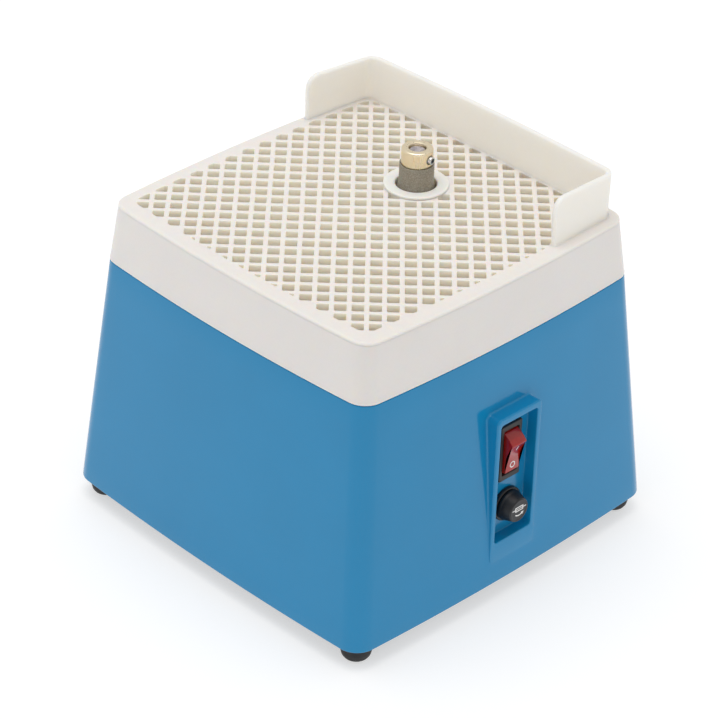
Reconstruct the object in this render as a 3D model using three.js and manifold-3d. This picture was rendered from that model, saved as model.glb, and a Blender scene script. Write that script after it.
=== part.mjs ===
// Bench-top wet grinder for stained glass: a tapered plastic casing with the motor
// hanging under its deck, a lift-out water tray, a grid worktop with an upright
// splash guard, and a diamond grinding head on the motor shaft.
// Millimetres, +Z up. The origin is on the bench, under the middle of the casing.
// The front is -Y, and the switch side is +X.
// Heights in this file are measured from a datum plane DATUM above the bench; every
// body is raised by that much when it is added.

import * as THREE from 'three';
import { mergeVertices } from 'three/addons/utils/BufferGeometryUtils.js';
import Module from 'manifold-3d';

const wasm = await Module();
wasm.setup();

// ---------------------------------------------------------------- dimensions
const DATUM = 5.0;             // height of the datum plane above the bench
const FOOT_H = 5.0;            // height of the casing's lower edge above the datum
const SEAM_Z = 132.9;          // joint between casing and water tray
const RIM_Z = 161.8;           // top of the water tray's rim
const TOP_Z = 163.2;           // worktop plane
const BASE_HALF = 105.2;       // half width of the casing at its lower edge
const SEAM_HALF = 93.9;        // half width at the seam
const LID_HALF = 90.3;         // half width of the worktop
const BASE_CROWN = 2.5;        // how far the middle of a side bulges past its ends
const SEAM_CROWN = 3.0;
const LID_CROWN = 2.65;
const BASE_R = 11.4;           // plan corner radii
const SEAM_R = 10.4;
const LID_R = 9.8;
const WALL = 3.0;              // casing and tray wall
const DECK_LO = 115.0;         // underside of the casing's deck
const DECK_HI = 118.0;         // upper side of the deck
const GAP = 0.3;               // running and assembly gap

const SX = -2.3;               // spindle axis
const SY = 34.1;

const PITCH = 8.0;             // worktop grid, measured square to the bars
const BAR = 2.3;               // width of a grid bar
const GRID_U = 101.74;         // phase of the two bar families
const GRID_V = -0.09;
const PLATE_LO = 159.5;        // underside of the worktop plate

const GUARD_TOP = 187.4;       // top of the splash guard
const GUARD_X0 = -89.0;        // the wings follow the crowned edge of the worktop,
const GUARD_X1 = 84.0;         // so these two are their places if carried on to y = 0
const GUARD_Y0 = 40.3;         // front ends of the guard's wings
const GUARD_Y1 = 85.6;         // back wall at its middle
const GUARD_CROWN = 1.4;       // how far the back wall has come in 70 mm either side of it
const GUARD_T = 3.0;
const GUARD_RIGHT = 82.1;      // at its top the right wing is straight along this line
const GUARD_LEFT = -87.9;      // and the left wing starts here and comes in by GUARD_TURN a millimetre
const GUARD_TURN = 0.12;
const GUARD_LEAN = 0.4;        // the back wall leans in by this much at its top

const POCKET_X = 104.2;        // front plane of the switch hood
const POCKET_FLOOR = 98.0;     // recessed floor of the switch pocket
const HOOD_HALF = 15.3;
const HOOD_Z0 = 17.0;
const HOOD_Z1 = 99.5;
const POCKET_HALF = 12.5;
const POCKET_Z0 = 28.0;
const POCKET_Z1 = 95.8;
const SWITCH_Z = 74.4;
const FUSE_Z = 43.7;

const MOTOR_R = 43.0;
const SHAFT_R = 4.0;
const SHAFT_TOP = 182.6;
const BIT_TOP = 183.8;
const FLAT_AZ = THREE.MathUtils.degToRad(8);   // set screw direction in plan

// ---------------------------------------------------------------- helpers
function toSolid(geometry) {
  let g = geometry.clone();
  for (const name of Object.keys(g.attributes)) if (name !== 'position') g.deleteAttribute(name);
  g = mergeVertices(g, 1e-4);
  const p = g.getAttribute('position').array;
  const idx = g.index.array;
  const tri = [];
  let volume = 0;
  for (let i = 0; i < idx.length; i += 3) {
    const [a, b, c] = [idx[i], idx[i + 1], idx[i + 2]];
    if (a === b || b === c || a === c) continue;
    tri.push(a, b, c);
    const [A, B, C] = [a, b, c].map((k) => new THREE.Vector3(p[3 * k], p[3 * k + 1], p[3 * k + 2]));
    volume += A.dot(B.cross(C));
  }
  if (volume < 0) for (let i = 0; i < tri.length; i += 3) [tri[i + 1], tri[i + 2]] = [tri[i + 2], tri[i + 1]];
  return new wasm.Manifold(new wasm.Mesh({ numProp: 3, vertProperties: new Float32Array(p), triVerts: new Uint32Array(tri) }));
}

function toGeometry(solid) {
  const m = solid.getMesh();
  const g = new THREE.BufferGeometry();
  const n = m.numProp;
  const v = new Float32Array((m.vertProperties.length / n) * 3);
  for (let i = 0; i < v.length / 3; i++) for (let k = 0; k < 3; k++) v[3 * i + k] = m.vertProperties[n * i + k];
  g.setAttribute('position', new THREE.BufferAttribute(v, 3));
  g.setIndex(Array.from(m.triVerts));
  g.computeVertexNormals();
  return g;
}

const join = (first, ...rest) => rest.reduce((a, b) => a.add(b), first);
const cut = (first, ...rest) => rest.reduce((a, b) => a.subtract(b), first);

function box(x0, x1, y0, y1, z0, z1) {
  const g = new THREE.BoxGeometry(x1 - x0, y1 - y0, z1 - z0);
  g.translate((x0 + x1) / 2, (y0 + y1) / 2, (z0 + z1) / 2);
  return toSolid(g);
}

// Turned shapes. profile holds [radius, height] pairs; a closed ring profile is
// closed here, and one that starts and ends on the axis stays as it is.
function turned(profile, segments, place = (g) => g) {
  const pts = profile.map(([r, z]) => new THREE.Vector2(r, z));
  const onAxis = profile[0][0] === 0 && profile[profile.length - 1][0] === 0;
  if (!onAxis) pts.push(pts[0].clone());
  const g = new THREE.LatheGeometry(pts, segments);
  g.rotateX(Math.PI / 2);
  return toSolid(place(g));
}
const turnedZ = (profile, segments, x, y) => turned(profile, segments, (g) => g.translate(x, y, 0));
// the profile's height becomes +X
const turnedX = (profile, segments, y, z) => turned(profile, segments, (g) => g.rotateY(Math.PI / 2).translate(0, y, z));
const rod = (r, z0, z1, segments, x, y) => turnedZ([[0, z0], [r, z0], [r, z1], [0, z1]], segments, x, y);
const rodX = (r, x0, x1, segments, y, z) => turnedX([[0, x0], [r, x0], [r, x1], [0, x1]], segments, y, z);

function roundedSquare(half, crown, radius, { halfY = half, cx = 0, cy = 0, side = 4, arc = 3 } = {}) {
  const pts = [];
  for (let k = 0; k < 4; k++) {
    const [H, V] = k % 2 ? [halfY, half] : [half, halfY];
    const h = H - radius;
    const v = V - radius;
    const ca = Math.round(Math.cos((k * Math.PI) / 2));
    const sa = Math.round(Math.sin((k * Math.PI) / 2));
    const put = (x, y) => pts.push([x * ca - y * sa + cx, x * sa + y * ca + cy]);
    let last = null;
    for (let i = 0; i <= side; i++) {
      const t = -1 + (2 * i) / side;
      const x = h - crown * t * t;
      const y = t * (v - crown);
      const n = new THREE.Vector2(v - crown, 2 * crown * t).normalize();
      put(x + radius * n.x, y + radius * n.y);
      last = { x, y, a: Math.atan2(n.y, n.x) };
    }
    const a1 = Math.PI / 2 - last.a;
    for (let i = 1; i < arc; i++) {
      const a = last.a + ((a1 - last.a) * i) / arc;
      put(last.x + radius * Math.cos(a), last.y + radius * Math.sin(a));
    }
  }
  return pts;
}

// Skin through plan outlines of equal point count at rising heights.
function loft(levels) {
  const n = levels[0].ring.length;
  const pos = [];
  for (const { ring, z } of levels) for (const [x, y] of ring) pos.push(x, y, z);
  const idx = [];
  for (let l = 0; l + 1 < levels.length; l++) {
    for (let i = 0; i < n; i++) {
      const a = l * n + i;
      const b = l * n + ((i + 1) % n);
      idx.push(a, b, a + n, b, b + n, a + n);
    }
  }
  const cap = (l, up) => {
    const contour = levels[l].ring.map(([x, y]) => new THREE.Vector2(x, y));
    for (const [a, b, c] of THREE.ShapeUtils.triangulateShape(contour, [])) {
      if (up) idx.push(l * n + a, l * n + b, l * n + c);
      else idx.push(l * n + a, l * n + c, l * n + b);
    }
  };
  cap(0, false);
  cap(levels.length - 1, true);
  const g = new THREE.BufferGeometry();
  g.setAttribute('position', new THREE.Float32BufferAttribute(pos, 3));
  g.setIndex(idx);
  return toSolid(g);
}

// A flat outline extruded along X; points are [y, z].
function alongX(points, x0, x1) {
  const ring = points;
  const n = ring.length;
  const pos = [];
  for (const x of [x0, x1]) for (const [y, z] of ring) pos.push(x, y, z);
  const idx = [];
  for (let i = 0; i < n; i++) {
    const j = (i + 1) % n;
    idx.push(i, j, i + n, j, j + n, i + n);
  }
  for (const [a, b, c] of THREE.ShapeUtils.triangulateShape(ring.map(([y, z]) => new THREE.Vector2(y, z)), [])) {
    idx.push(a, c, b, n + a, n + b, n + c);
  }
  const g = new THREE.BufferGeometry();
  g.setAttribute('position', new THREE.Float32BufferAttribute(pos, 3));
  g.setIndex(idx);
  return toSolid(g);
}

function roundRect(y0, y1, z0, z1, r, arc = 3) {
  const pts = [];
  for (const [cy, cz, a0] of [[y1 - r, z0 + r, -90], [y1 - r, z1 - r, 0], [y0 + r, z1 - r, 90], [y0 + r, z0 + r, 180]]) {
    for (let i = 0; i <= arc; i++) {
      const a = THREE.MathUtils.degToRad(a0 + (90 * i) / arc);
      pts.push([cy + r * Math.cos(a), cz + r * Math.sin(a)]);
    }
  }
  return pts;
}

const lerp = (a, b, t) => a + (b - a) * t;
const caseT = (z) => (SEAM_Z - z) / (SEAM_Z - FOOT_H);
const caseHalf = (z) => lerp(SEAM_HALF, BASE_HALF, caseT(z));
const caseRing = (z, inset = 0) => roundedSquare(
  caseHalf(z) - inset, lerp(SEAM_CROWN, BASE_CROWN, caseT(z)), Math.max(lerp(SEAM_R, BASE_R, caseT(z)) - inset, 1));
const trayT = (z) => (z - SEAM_Z) / (RIM_Z - SEAM_Z);
const trayRing = (z, inset = 0) => roundedSquare(
  lerp(SEAM_HALF, LID_HALF - 0.1, trayT(z)) - inset, lerp(SEAM_CROWN, LID_CROWN, trayT(z)), Math.max(lerp(SEAM_R, LID_R, trayT(z)) - inset, 1));

const root = new THREE.Group();
function add(name, solid, color, roughness = 0.5, metalness = 0.0) {
  const mesh = new THREE.Mesh(toGeometry(solid).translate(0, 0, DATUM), new THREE.MeshStandardMaterial({ color, roughness, metalness }));
  mesh.name = name;
  root.add(mesh);
}

const BLUE = 0x1f7fb8, WHITE = 0xe9e4da, BLACK = 0x232325, RUBBER = 0x18181a, STEEL = 0xb9bcc0;
const BRASS = 0xcdb27a, GRIT = 0x857d6d, ALU = 0xb4b7ba, IRON = 0x6c6f74, COPPER = 0xb06a3b;

// ---------------------------------------------------------------- base casing
const corners = [['front_left', -91, -91], ['front_right', 91, -91], ['rear_right', 91, 91], ['rear_left', -91, 91]];
const boltSpots = [[-25.5, -25.5], [25.5, -25.5], [25.5, 25.5], [-25.5, 25.5]].map(([x, y]) => [x + SX, y + SY]);
const GLAND = { x: 45, z: 26, tilt: Math.atan((BASE_HALF - SEAM_HALF) / (SEAM_Z - FOOT_H)) };
GLAND.y = caseHalf(GLAND.z) - BASE_CROWN * (GLAND.x / 91.3) ** 2;
const atGland = (g) => g.rotateX(-Math.PI / 2).rotateX(GLAND.tilt).translate(GLAND.x, GLAND.y, GLAND.z);
{
  let s = loft([
    { ring: caseRing(FOOT_H, 0.8), z: FOOT_H },
    { ring: caseRing(FOOT_H + 0.9), z: FOOT_H + 0.9 },
    { ring: caseRing(SEAM_Z - GAP), z: SEAM_Z - GAP },
  ]);
  const hollow = loft([
    { ring: caseRing(FOOT_H, WALL), z: FOOT_H - 1 },
    { ring: caseRing(DECK_LO, WALL), z: DECK_LO },
  ]);
  const recess = loft([
    { ring: roundedSquare(90.6, SEAM_CROWN, SEAM_R - 3), z: DECK_HI },
    { ring: roundedSquare(90.6, SEAM_CROWN, SEAM_R - 3), z: SEAM_Z + 1 },
  ]);
  s = cut(s, hollow, recess);
  s = join(s, ...corners.map(([, x, y]) => rod(5, 8.3, 36, 10, x, y)));
  s = cut(s, ...corners.map(([, x, y]) => rod(2.1, 8, 30, 6, x, y)));
  s = join(s, alongX(roundRect(-HOOD_HALF, HOOD_HALF, HOOD_Z0, HOOD_Z1, 3), POCKET_FLOOR - 2.5, POCKET_X));
  s = cut(s,
    alongX(roundRect(-POCKET_HALF, POCKET_HALF, POCKET_Z0, POCKET_Z1, 1.6, 2), POCKET_FLOOR, POCKET_X + 4),
    box(POCKET_FLOOR - 4, POCKET_FLOOR + 1, -6.2, 6.2, SWITCH_Z - 13.4, SWITCH_Z + 13.4),
    rodX(6.5, POCKET_FLOOR - 4, POCKET_FLOOR + 1, 16, 0, FUSE_Z),
    rod(11, DECK_LO - 1, DECK_HI + 1, 18, SX, SY),
    ...boltSpots.map(([x, y]) => rod(2.4, DECK_LO - 1, DECK_HI + 1, 8, x, y)),
    turned([[0, -6], [6.2, -6], [6.2, 6], [0, 6]], 12, atGland));
  add('base_casing', s, BLUE, 0.35);
}

// ---------------------------------------------------------------- base plate and feet
{
  let s = loft([
    { ring: caseRing(FOOT_H + 0.4, WALL + 0.5), z: FOOT_H + 0.4 },
    { ring: caseRing(FOOT_H + 2.9, WALL + 0.5), z: FOOT_H + 2.9 },
  ]);
  s = cut(s, ...corners.map(([, x, y]) => rod(2.2, FOOT_H - 1, FOOT_H + 4, 8, x, y)));
  const slots = [];
  for (let i = -3; i <= 3; i++) slots.push(box(SX - 24, SX + 24, SY + i * 9 - 2, SY + i * 9 + 2, FOOT_H, FOOT_H + 4));
  for (let i = -2; i <= 2; i++) slots.push(box(SX - 24, SX + 24, -62 + i * 9 - 2, -62 + i * 9 + 2, FOOT_H, FOOT_H + 4));
  s = cut(s, ...slots);
  add('base_plate', s, BLACK, 0.6);
}
for (const [where, x, y] of corners) {
  add(`foot_${where}`, turnedZ([[2.2, 4.7], [7.6, 4.7], [7.6, -0.6], [7.1, -2.6], [6.2, -4.2], [4.9, -5], [3.5, -5], [3.5, 2.2], [2.2, 2.2]], 16, x, y), RUBBER, 0.8);
}
for (const [where, x, y] of corners) {
  add(`foot_screw_${where}`, turnedZ([[0, 0.6], [3.1, 0.6], [3.1, 1.9], [1.6, 1.9], [1.6, 26], [0, 27]], 8, x, y), STEEL, 0.3, 1);
}

// ---------------------------------------------------------------- motor
// cooling windows through the side wall of an end bell
const windows = (z0, z1) => [box(SX - 50, SX - 30, SY - 11, SY + 11, z0, z1), box(SX + 30, SX + 50, SY - 11, SY + 11, z0, z1),
  box(SX - 11, SX + 11, SY - 50, SY - 30, z0, z1), box(SX - 11, SX + 11, SY + 30, SY + 50, z0, z1)];
{
  let s = turnedZ([[40, 101.3], [43, 101.3], [43, 112], [41, 114.7], [5.5, 114.7], [5.5, 111.3], [11.3, 111.3],
    [11.3, 103.7], [14.5, 103.7], [14.5, 111], [40, 111]], 18, SX, SY);
  s = cut(s, ...boltSpots.map(([x, y]) => rod(2.4, 110, 116, 6, x, y)));
  s = cut(s, ...windows(103, 108.5));
  add('motor_end_bell_upper', s, ALU, 0.45, 1);
}
{
  let s = turnedZ([[40, 70.7], [43, 70.7], [43, 52.4], [41, 49.7], [5.5, 49.7], [5.5, 52.7], [11.3, 52.7],
    [11.3, 60.3], [14.5, 60.3], [14.5, 53.4], [40, 53.4]], 18, SX, SY);
  s = cut(s, ...boltSpots.map(([x, y]) => rod(2.4, 49, 54, 6, x, y)));
  s = cut(s, ...windows(57, 66));
  add('motor_end_bell_lower', s, ALU, 0.45, 1);
}
{
  let s = turnedZ([[23.3, 71], [MOTOR_R, 71], [MOTOR_R, 101], [23.3, 101]], 18, SX, SY);
  s = cut(s, ...boltSpots.map(([x, y]) => rod(2.4, 70, 102, 6, x, y)));
  add('stator_core', s, IRON, 0.6, 1);
}
add('winding_upper', turnedZ([[25.5, 101.4], [32.5, 101.4], [33, 105], [31, 109.4], [27, 109.4], [25, 105]], 14, SX, SY), COPPER, 0.4, 0.6);
add('winding_lower', turnedZ([[25.5, 70.6], [32.5, 70.6], [33, 66.5], [31, 62.2], [27, 62.2], [25, 66.5]], 14, SX, SY), COPPER, 0.4, 0.6);
add('rotor_core', turnedZ([[SHAFT_R + 0.2, 70], [22.6, 70], [22.6, 102], [SHAFT_R + 0.2, 102]], 18, SX, SY), IRON, 0.5, 1);
add('shaft_bearing_upper', turnedZ([[4.2, 104], [11, 104], [11, 111], [4.2, 111]], 16, SX, SY), STEEL, 0.25, 1);
add('shaft_bearing_lower', turnedZ([[4.2, 53], [11, 53], [11, 60], [4.2, 60]], 16, SX, SY), STEEL, 0.25, 1);
{
  let s = turnedZ([[0, 34], [3.5, 34], [4, 34.5], [4, SHAFT_TOP - 0.5], [3.5, SHAFT_TOP], [0, SHAFT_TOP]], 24, SX, SY);
  const flat = new THREE.BoxGeometry(4, 12, 40);
  flat.translate(3.1 + 2, 0, 150 + 20);
  flat.rotateZ(FLAT_AZ);
  flat.translate(SX, SY, 0);
  s = cut(s, toSolid(flat));
  add('motor_shaft', s, STEEL, 0.25, 1);
}
{
  const blades = [];
  for (let i = 0; i < 6; i++) {
    const g = new THREE.BoxGeometry(21, 1.6, 9);
    g.translate(18.5, 0, 41);
    g.rotateZ((i * Math.PI) / 3);
    g.translate(SX, SY, 0);
    blades.push(toSolid(g));
  }
  let s = turnedZ([[4.2, 36.5], [9.5, 36.5], [9.5, 44.5], [30, 44.5], [30, 46.2], [4.2, 46.2]], 18, SX, SY);
  s = join(s, ...blades);
  add('cooling_fan', s, BLACK, 0.5);
}
boltSpots.forEach(([x, y], i) => {
  add(`motor_bolt_${i + 1}`, turnedZ([[0, 51], [1.9, 51], [1.9, 118.3], [3.5, 118.3], [3.5, 120.6], [2.6, 121.3], [0, 121.3]], 8, x, y), STEEL, 0.3, 1);
});
add('shaft_seal', turnedZ([[4.4, 115.3], [10.7, 115.3], [10.7, 117.9], [8, 117.9], [8, 116.8], [4.4, 116.8]], 14, SX, SY), RUBBER, 0.8);
add('shaft_slinger', turnedZ([[4.2, 118.6], [9.8, 118.6], [9.8, 119.6], [6.5, 120.6], [6.5, 122.6], [4.2, 122.6]], 14, SX, SY), RUBBER, 0.8);
{
  const pts = roundRect(-19, 19, -9, 9, 3, 2).map(([a, b]) => [a - 66, b + 62]);
  add('run_capacitor', loft([{ ring: pts, z: FOOT_H + 3.3 }, { ring: pts, z: FOOT_H + 31 }]), 0xd8d5cc, 0.4);
  // the strap goes over the capacitor and stands on the base plate
  const z0 = FOOT_H + 3.3;
  const u = [[41, z0], [52.5, z0], [52.5, z0 + 28.2], [71.5, z0 + 28.2], [71.5, z0], [83, z0], [83, z0 + 1.2], [72.7, z0 + 1.2],
    [72.7, z0 + 29.4], [51.3, z0 + 29.4], [51.3, z0 + 1.2], [41, z0 + 1.2]];
  add('capacitor_strap', alongX(u, -71, -61), STEEL, 0.35, 1);
}

// ---------------------------------------------------------------- grinding head
{
  const profile = [[4.3, 151.2], [7.6, 151.2], [7.6, 175.8], [7.8, 175.8], [7.8, BIT_TOP - 0.8], [7.0, BIT_TOP], [4.9, BIT_TOP], [4.3, BIT_TOP - 0.6]];
  let s = turnedZ(profile, 24, SX, SY);
  const hole = turned([[0, 0], [2.3, 0], [2.3, 14], [0, 14]], 10, (g) => g.rotateY(Math.PI / 2).rotateZ(FLAT_AZ).translate(SX, SY, 179.3));
  s = cut(s, hole);
  add('grinding_head_core', s, BRASS, 0.3, 1);
  add('diamond_sleeve', turnedZ([[7.9, 153.6], [9.6, 153.6], [9.4, 162.4], [8.6, 166.0], [8.6, 175.5], [7.9, 175.5]], 24, SX, SY), GRIT, 0.85, 0.3);
  const screw = turned([[0, 3.7], [2.0, 3.7], [2.0, 8.9], [1.6, 9.3], [1.15, 9.3], [1.15, 7.4], [0, 7.4]], 8,
    (g) => g.rotateY(Math.PI / 2).rotateZ(FLAT_AZ).translate(SX, SY, 179.3));
  add('set_screw', screw, STEEL, 0.3, 1);
}

// ---------------------------------------------------------------- water tray
{
  let s = loft([{ ring: trayRing(SEAM_Z, -0.1), z: SEAM_Z }, { ring: trayRing(SEAM_Z + 1), z: SEAM_Z + 1 }, { ring: trayRing(RIM_Z), z: RIM_Z }]);
  s = join(s, loft([{ ring: roundedSquare(88, SEAM_CROWN, 7), z: 122 }, { ring: roundedSquare(88, SEAM_CROWN, 7), z: 134 }]));
  s = cut(s, loft([{ ring: roundedSquare(85.2, SEAM_CROWN, 5), z: 124.5 }, { ring: roundedSquare(87, SEAM_CROWN, 6), z: 140 },
    { ring: roundedSquare(87.1, LID_CROWN, 6.8), z: RIM_Z + 1 }]));
  s = join(s, rod(13.5, 123, 148, 20, SX, SY));
  s = cut(s, rod(11, 120, 149, 20, SX, SY));
  add('water_tray', s, WHITE, 0.4);
}
// foam block that carries water up to the back of the grinding head
add('coolant_sponge', join(box(SX - 17, SX + 17, SY + 14.3, SY + 27, 124.9, 157.5), box(SX - 17, SX + 17, SY + 10.1, SY + 20, 149, 157.5)), 0xd9b24a, 1.0);

// ---------------------------------------------------------------- worktop grid, ring and guard
function clip(poly, ring) {
  let out = poly;
  for (let i = 0; i < ring.length && out.length; i++) {
    const [ax, ay] = ring[i];
    const [bx, by] = ring[(i + 1) % ring.length];
    const inside = ([x, y]) => (bx - ax) * (y - ay) - (by - ay) * (x - ax);
    const next = [];
    for (let k = 0; k < out.length; k++) {
      const p = out[k];
      const q = out[(k + 1) % out.length];
      const [dp, dq] = [inside(p), inside(q)];
      if (dp >= 0) next.push(p);
      if ((dp > 0 && dq < 0) || (dp < 0 && dq > 0)) {
        const t = dp / (dp - dq);
        next.push([p[0] + (q[0] - p[0]) * t, p[1] + (q[1] - p[1]) * t]);
      }
    }
    out = next;
  }
  return out;
}
const area = (p) => p.reduce((s, [x, y], i) => s + x * p[(i + 1) % p.length][1] - p[(i + 1) % p.length][0] * y, 0) / 2;
const minEdge = (p) => Math.min(...p.map(([x, y], i) => Math.hypot(x - p[(i + 1) % p.length][0], y - p[(i + 1) % p.length][1])));
{
  const field = roundedSquare(82.6, 2.4, 6, { halfY: 82.0, cx: -1.05, cy: 0.3 });
  const half = (PITCH - BAR) / 2;
  const pos = [];
  const idx = [];
  for (let i = -2; i < 28; i++) {
    for (let j = -15; j < 15; j++) {
      const u = GRID_U - PITCH * (i + 0.5);
      const v = GRID_V + PITCH * (j + 0.5);
      const cell = [[-1, -1], [1, -1], [1, 1], [-1, 1]].map(([a, b]) => {
        const [p, q] = [u + a * half, v + b * half];
        return [(p + q) / Math.SQRT2, (q - p) / Math.SQRT2];
      });
      if (area(cell) < 0) cell.reverse();
      // the ring insert stands on a solid hub
      const [cx, cy] = [(u + v) / Math.SQRT2 - SX, (v - u) / Math.SQRT2 - SY];
      if (Math.hypot(cx, cy) < 15.5) continue;
      let c = clip(cell, field);
      if (c.length < 3 || area(c) < 2.5) continue;
      c = c.filter(([x, y], k) => Math.hypot(x - c[(k + 1) % c.length][0], y - c[(k + 1) % c.length][1]) > 0.15);
      if (c.length < 3) continue;
      const b = pos.length / 3;
      const n = c.length;
      for (const z of [PLATE_LO - 1, TOP_Z + 1]) for (const [x, y] of c) pos.push(x, y, z);
      for (let k = 0; k < n; k++) {
        const m = (k + 1) % n;
        idx.push(b + k, b + m, b + k + n, b + m, b + m + n, b + k + n);
      }
      for (let k = 1; k + 1 < n; k++) {
        idx.push(b, b + k + 1, b + k);
        idx.push(b + n, b + n + k, b + n + k + 1);
      }
    }
  }
  const g = new THREE.BufferGeometry();
  g.setAttribute('position', new THREE.Float32BufferAttribute(pos, 3));
  g.setIndex(idx);
  let cells = toSolid(g);
  cells = cut(cells, rod(15.3, PLATE_LO - 2, TOP_Z + 2, 24, SX, SY));
  let s = loft([{ ring: roundedSquare(LID_HALF, LID_CROWN, LID_R), z: RIM_Z + 0.15 }, { ring: roundedSquare(LID_HALF, LID_CROWN, LID_R), z: TOP_Z - 0.7 },
    { ring: roundedSquare(LID_HALF - 0.7, LID_CROWN, LID_R - 0.7), z: TOP_Z }]);
  s = join(s, loft([{ ring: roundedSquare(86.6, LID_CROWN, 6.4), z: PLATE_LO }, { ring: roundedSquare(86.6, LID_CROWN, 6.4), z: TOP_Z - 0.5 }]));
  s = cut(s, cells, rod(12.9, PLATE_LO - 1, TOP_Z + 1, 24, SX, SY));
  add('worktop_grid', s, WHITE, 0.4);
}
add('grid_ring', turnedZ([[10.2, PLATE_LO + 0.1], [12.6, PLATE_LO + 0.1], [12.6, TOP_Z + GAP], [16, TOP_Z + GAP], [16, TOP_Z + 1.2],
  [15.7, TOP_Z + 1.5], [10.8, TOP_Z + 1.5], [10.2, TOP_Z + 0.9]], 24, SX, SY), WHITE, 0.4);
{
  // outer lines of the walls at k, 0 at the foot and 1 at the top
  const wing = (y) => LID_CROWN * (y / 77.85) ** 2;
  const right = (y, k) => lerp(GUARD_X1 - wing(y), GUARD_RIGHT, k);
  const left = (y, k) => lerp(GUARD_X0 + wing(y), GUARD_LEFT + GUARD_TURN * (y - GUARD_Y0), k);
  const back = (x, k) => GUARD_Y1 - GUARD_LEAN * k - GUARD_CROWN * (x / 70) ** 2;
  const slope = (f, t) => (f(t + 0.01) - f(t - 0.01)) / 0.02;
  // corner arc centre and its end angles (from the wing's normal to the back wall's)
  const corner = (side, k) => {
    const w = side > 0 ? (y) => right(y, k) : (y) => -left(y, k);
    const a1 = Math.atan(-slope(w, 78));
    const a2 = Math.atan(-slope((x) => back(x, k), 76));
    const c = new THREE.Vector2(0, 78);
    for (let i = 0; i < 30; i++) {
      c.x = w(c.y + 7 * Math.sin(a1)) - 7 * Math.cos(a1);
      c.y = back(c.x + 7 * Math.sin(a2), k) - 7 * Math.cos(a2);
    }
    return { x: side * c.x, y: c.y, a1, a2 };
  };
  const line = (inset, k) => {
    const [R, L] = [corner(1, k), corner(-1, k)];
    const pts = [];
    const r = 7 - inset;
    const arc = (C, side) => {
      const out = [];
      for (let i = 0; i <= 5; i++) {
        const a = lerp(C.a1, Math.PI / 2 - C.a2, i / 5);
        out.push([C.x + side * r * Math.cos(a), C.y + r * Math.sin(a)]);
      }
      return out;
    };
    for (let i = 0; i < 4; i++) {
      const y = lerp(GUARD_Y0, R.y, i / 4);
      pts.push([right(y, k) - inset, y]);
    }
    pts.push(...arc(R, 1));
    for (let i = 1; i < 6; i++) {
      const x = lerp(R.x, L.x, i / 6);
      pts.push([x, back(x, k) - inset]);
    }
    pts.push(...arc(L, -1).reverse());
    for (let i = 3; i >= 0; i--) {
      const y = lerp(GUARD_Y0, L.y, i / 4);
      pts.push([left(y, k) + inset, y]);
    }
    return pts;
  };
  const u = (k) => [...line(0, k), ...line(GUARD_T, k).reverse()];
  let s = loft([{ ring: u(0), z: TOP_Z + 0.1 }, { ring: u(1), z: GUARD_TOP }]);
  const r = 7.5;
  const off = [[GUARD_Y0 - 5, GUARD_TOP + 5], [GUARD_Y0 - 5, GUARD_TOP - r]];
  for (let i = 0; i <= 6; i++) {
    const a = THREE.MathUtils.degToRad(180 - 15 * i);
    off.push([GUARD_Y0 + r + r * Math.cos(a), GUARD_TOP - r + r * Math.sin(a)]);
  }
  off.push([GUARD_Y0 + r, GUARD_TOP + 5]);
  s = cut(s, alongX(off, -110, 110));
  add('splash_guard', s, WHITE, 0.4);
}

// ---------------------------------------------------------------- mains switch
{
  let s = join(alongX(roundRect(-7.1, 7.1, SWITCH_Z - 15.65, SWITCH_Z + 15.65, 0.8, 2), POCKET_FLOOR + GAP, 99.7),
    box(84, POCKET_FLOOR + 0.5, -6, 6, SWITCH_Z - 13.2, SWITCH_Z + 13.2));
  s = cut(s, box(88.2, 101, -5.1, 5.1, SWITCH_Z - 12.6, SWITCH_Z + 12.6));
  const bore = turned([[0, -5.8], [1.3, -5.8], [1.3, 5.8], [0, 5.8]], 8, (g) => g.rotateX(Math.PI / 2).translate(95, 0, SWITCH_Z));
  s = cut(s, bore);
  add('switch_housing', s, BLACK, 0.4);

  // side profile of the rocker, [out from the pivot, up from the pivot], level
  const level = [[7.07, 0], [8.45, 8.72], [5.6, 10.6], [1.72, 12.1], [-2, 12.1], [-5, 3], [-5, -3], [-2, -12.1], [1.72, -12.1], [5.6, -10.6], [8.45, -8.72]];
  const tilt = THREE.MathUtils.degToRad(13);
  const turnedProfile = level.map(([x, z]) => [95 + x * Math.cos(tilt) + z * Math.sin(tilt), SWITCH_Z - x * Math.sin(tilt) + z * Math.cos(tilt)]);
  const shape = new THREE.Shape(turnedProfile.map(([x, z]) => new THREE.Vector2(x, z)));
  const g = new THREE.ExtrudeGeometry(shape, { depth: 9.5, bevelEnabled: false });
  g.rotateX(Math.PI / 2).translate(0, 4.75, 0);
  add('switch_rocker', cut(toSolid(g), turned([[0, -6], [1.3, -6], [1.3, 6], [0, 6]], 8, (q) => q.rotateX(Math.PI / 2).translate(95, 0, SWITCH_Z))), 0xc4302b, 0.3);
  add('rocker_pin', turned([[0, -5.6], [0.95, -5.6], [0.95, 5.6], [0, 5.6]], 8, (q) => q.rotateX(Math.PI / 2).translate(95, 0, SWITCH_Z)), STEEL, 0.3, 1);
  add('switch_terminal_line', box(76, 83.7, -3.1, 3.1, SWITCH_Z - 8.4, SWITCH_Z - 7.6), BRASS, 0.35, 1);
  add('switch_terminal_load', box(76, 83.7, -3.1, 3.1, SWITCH_Z + 7.6, SWITCH_Z + 8.4), BRASS, 0.35, 1);
}

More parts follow.
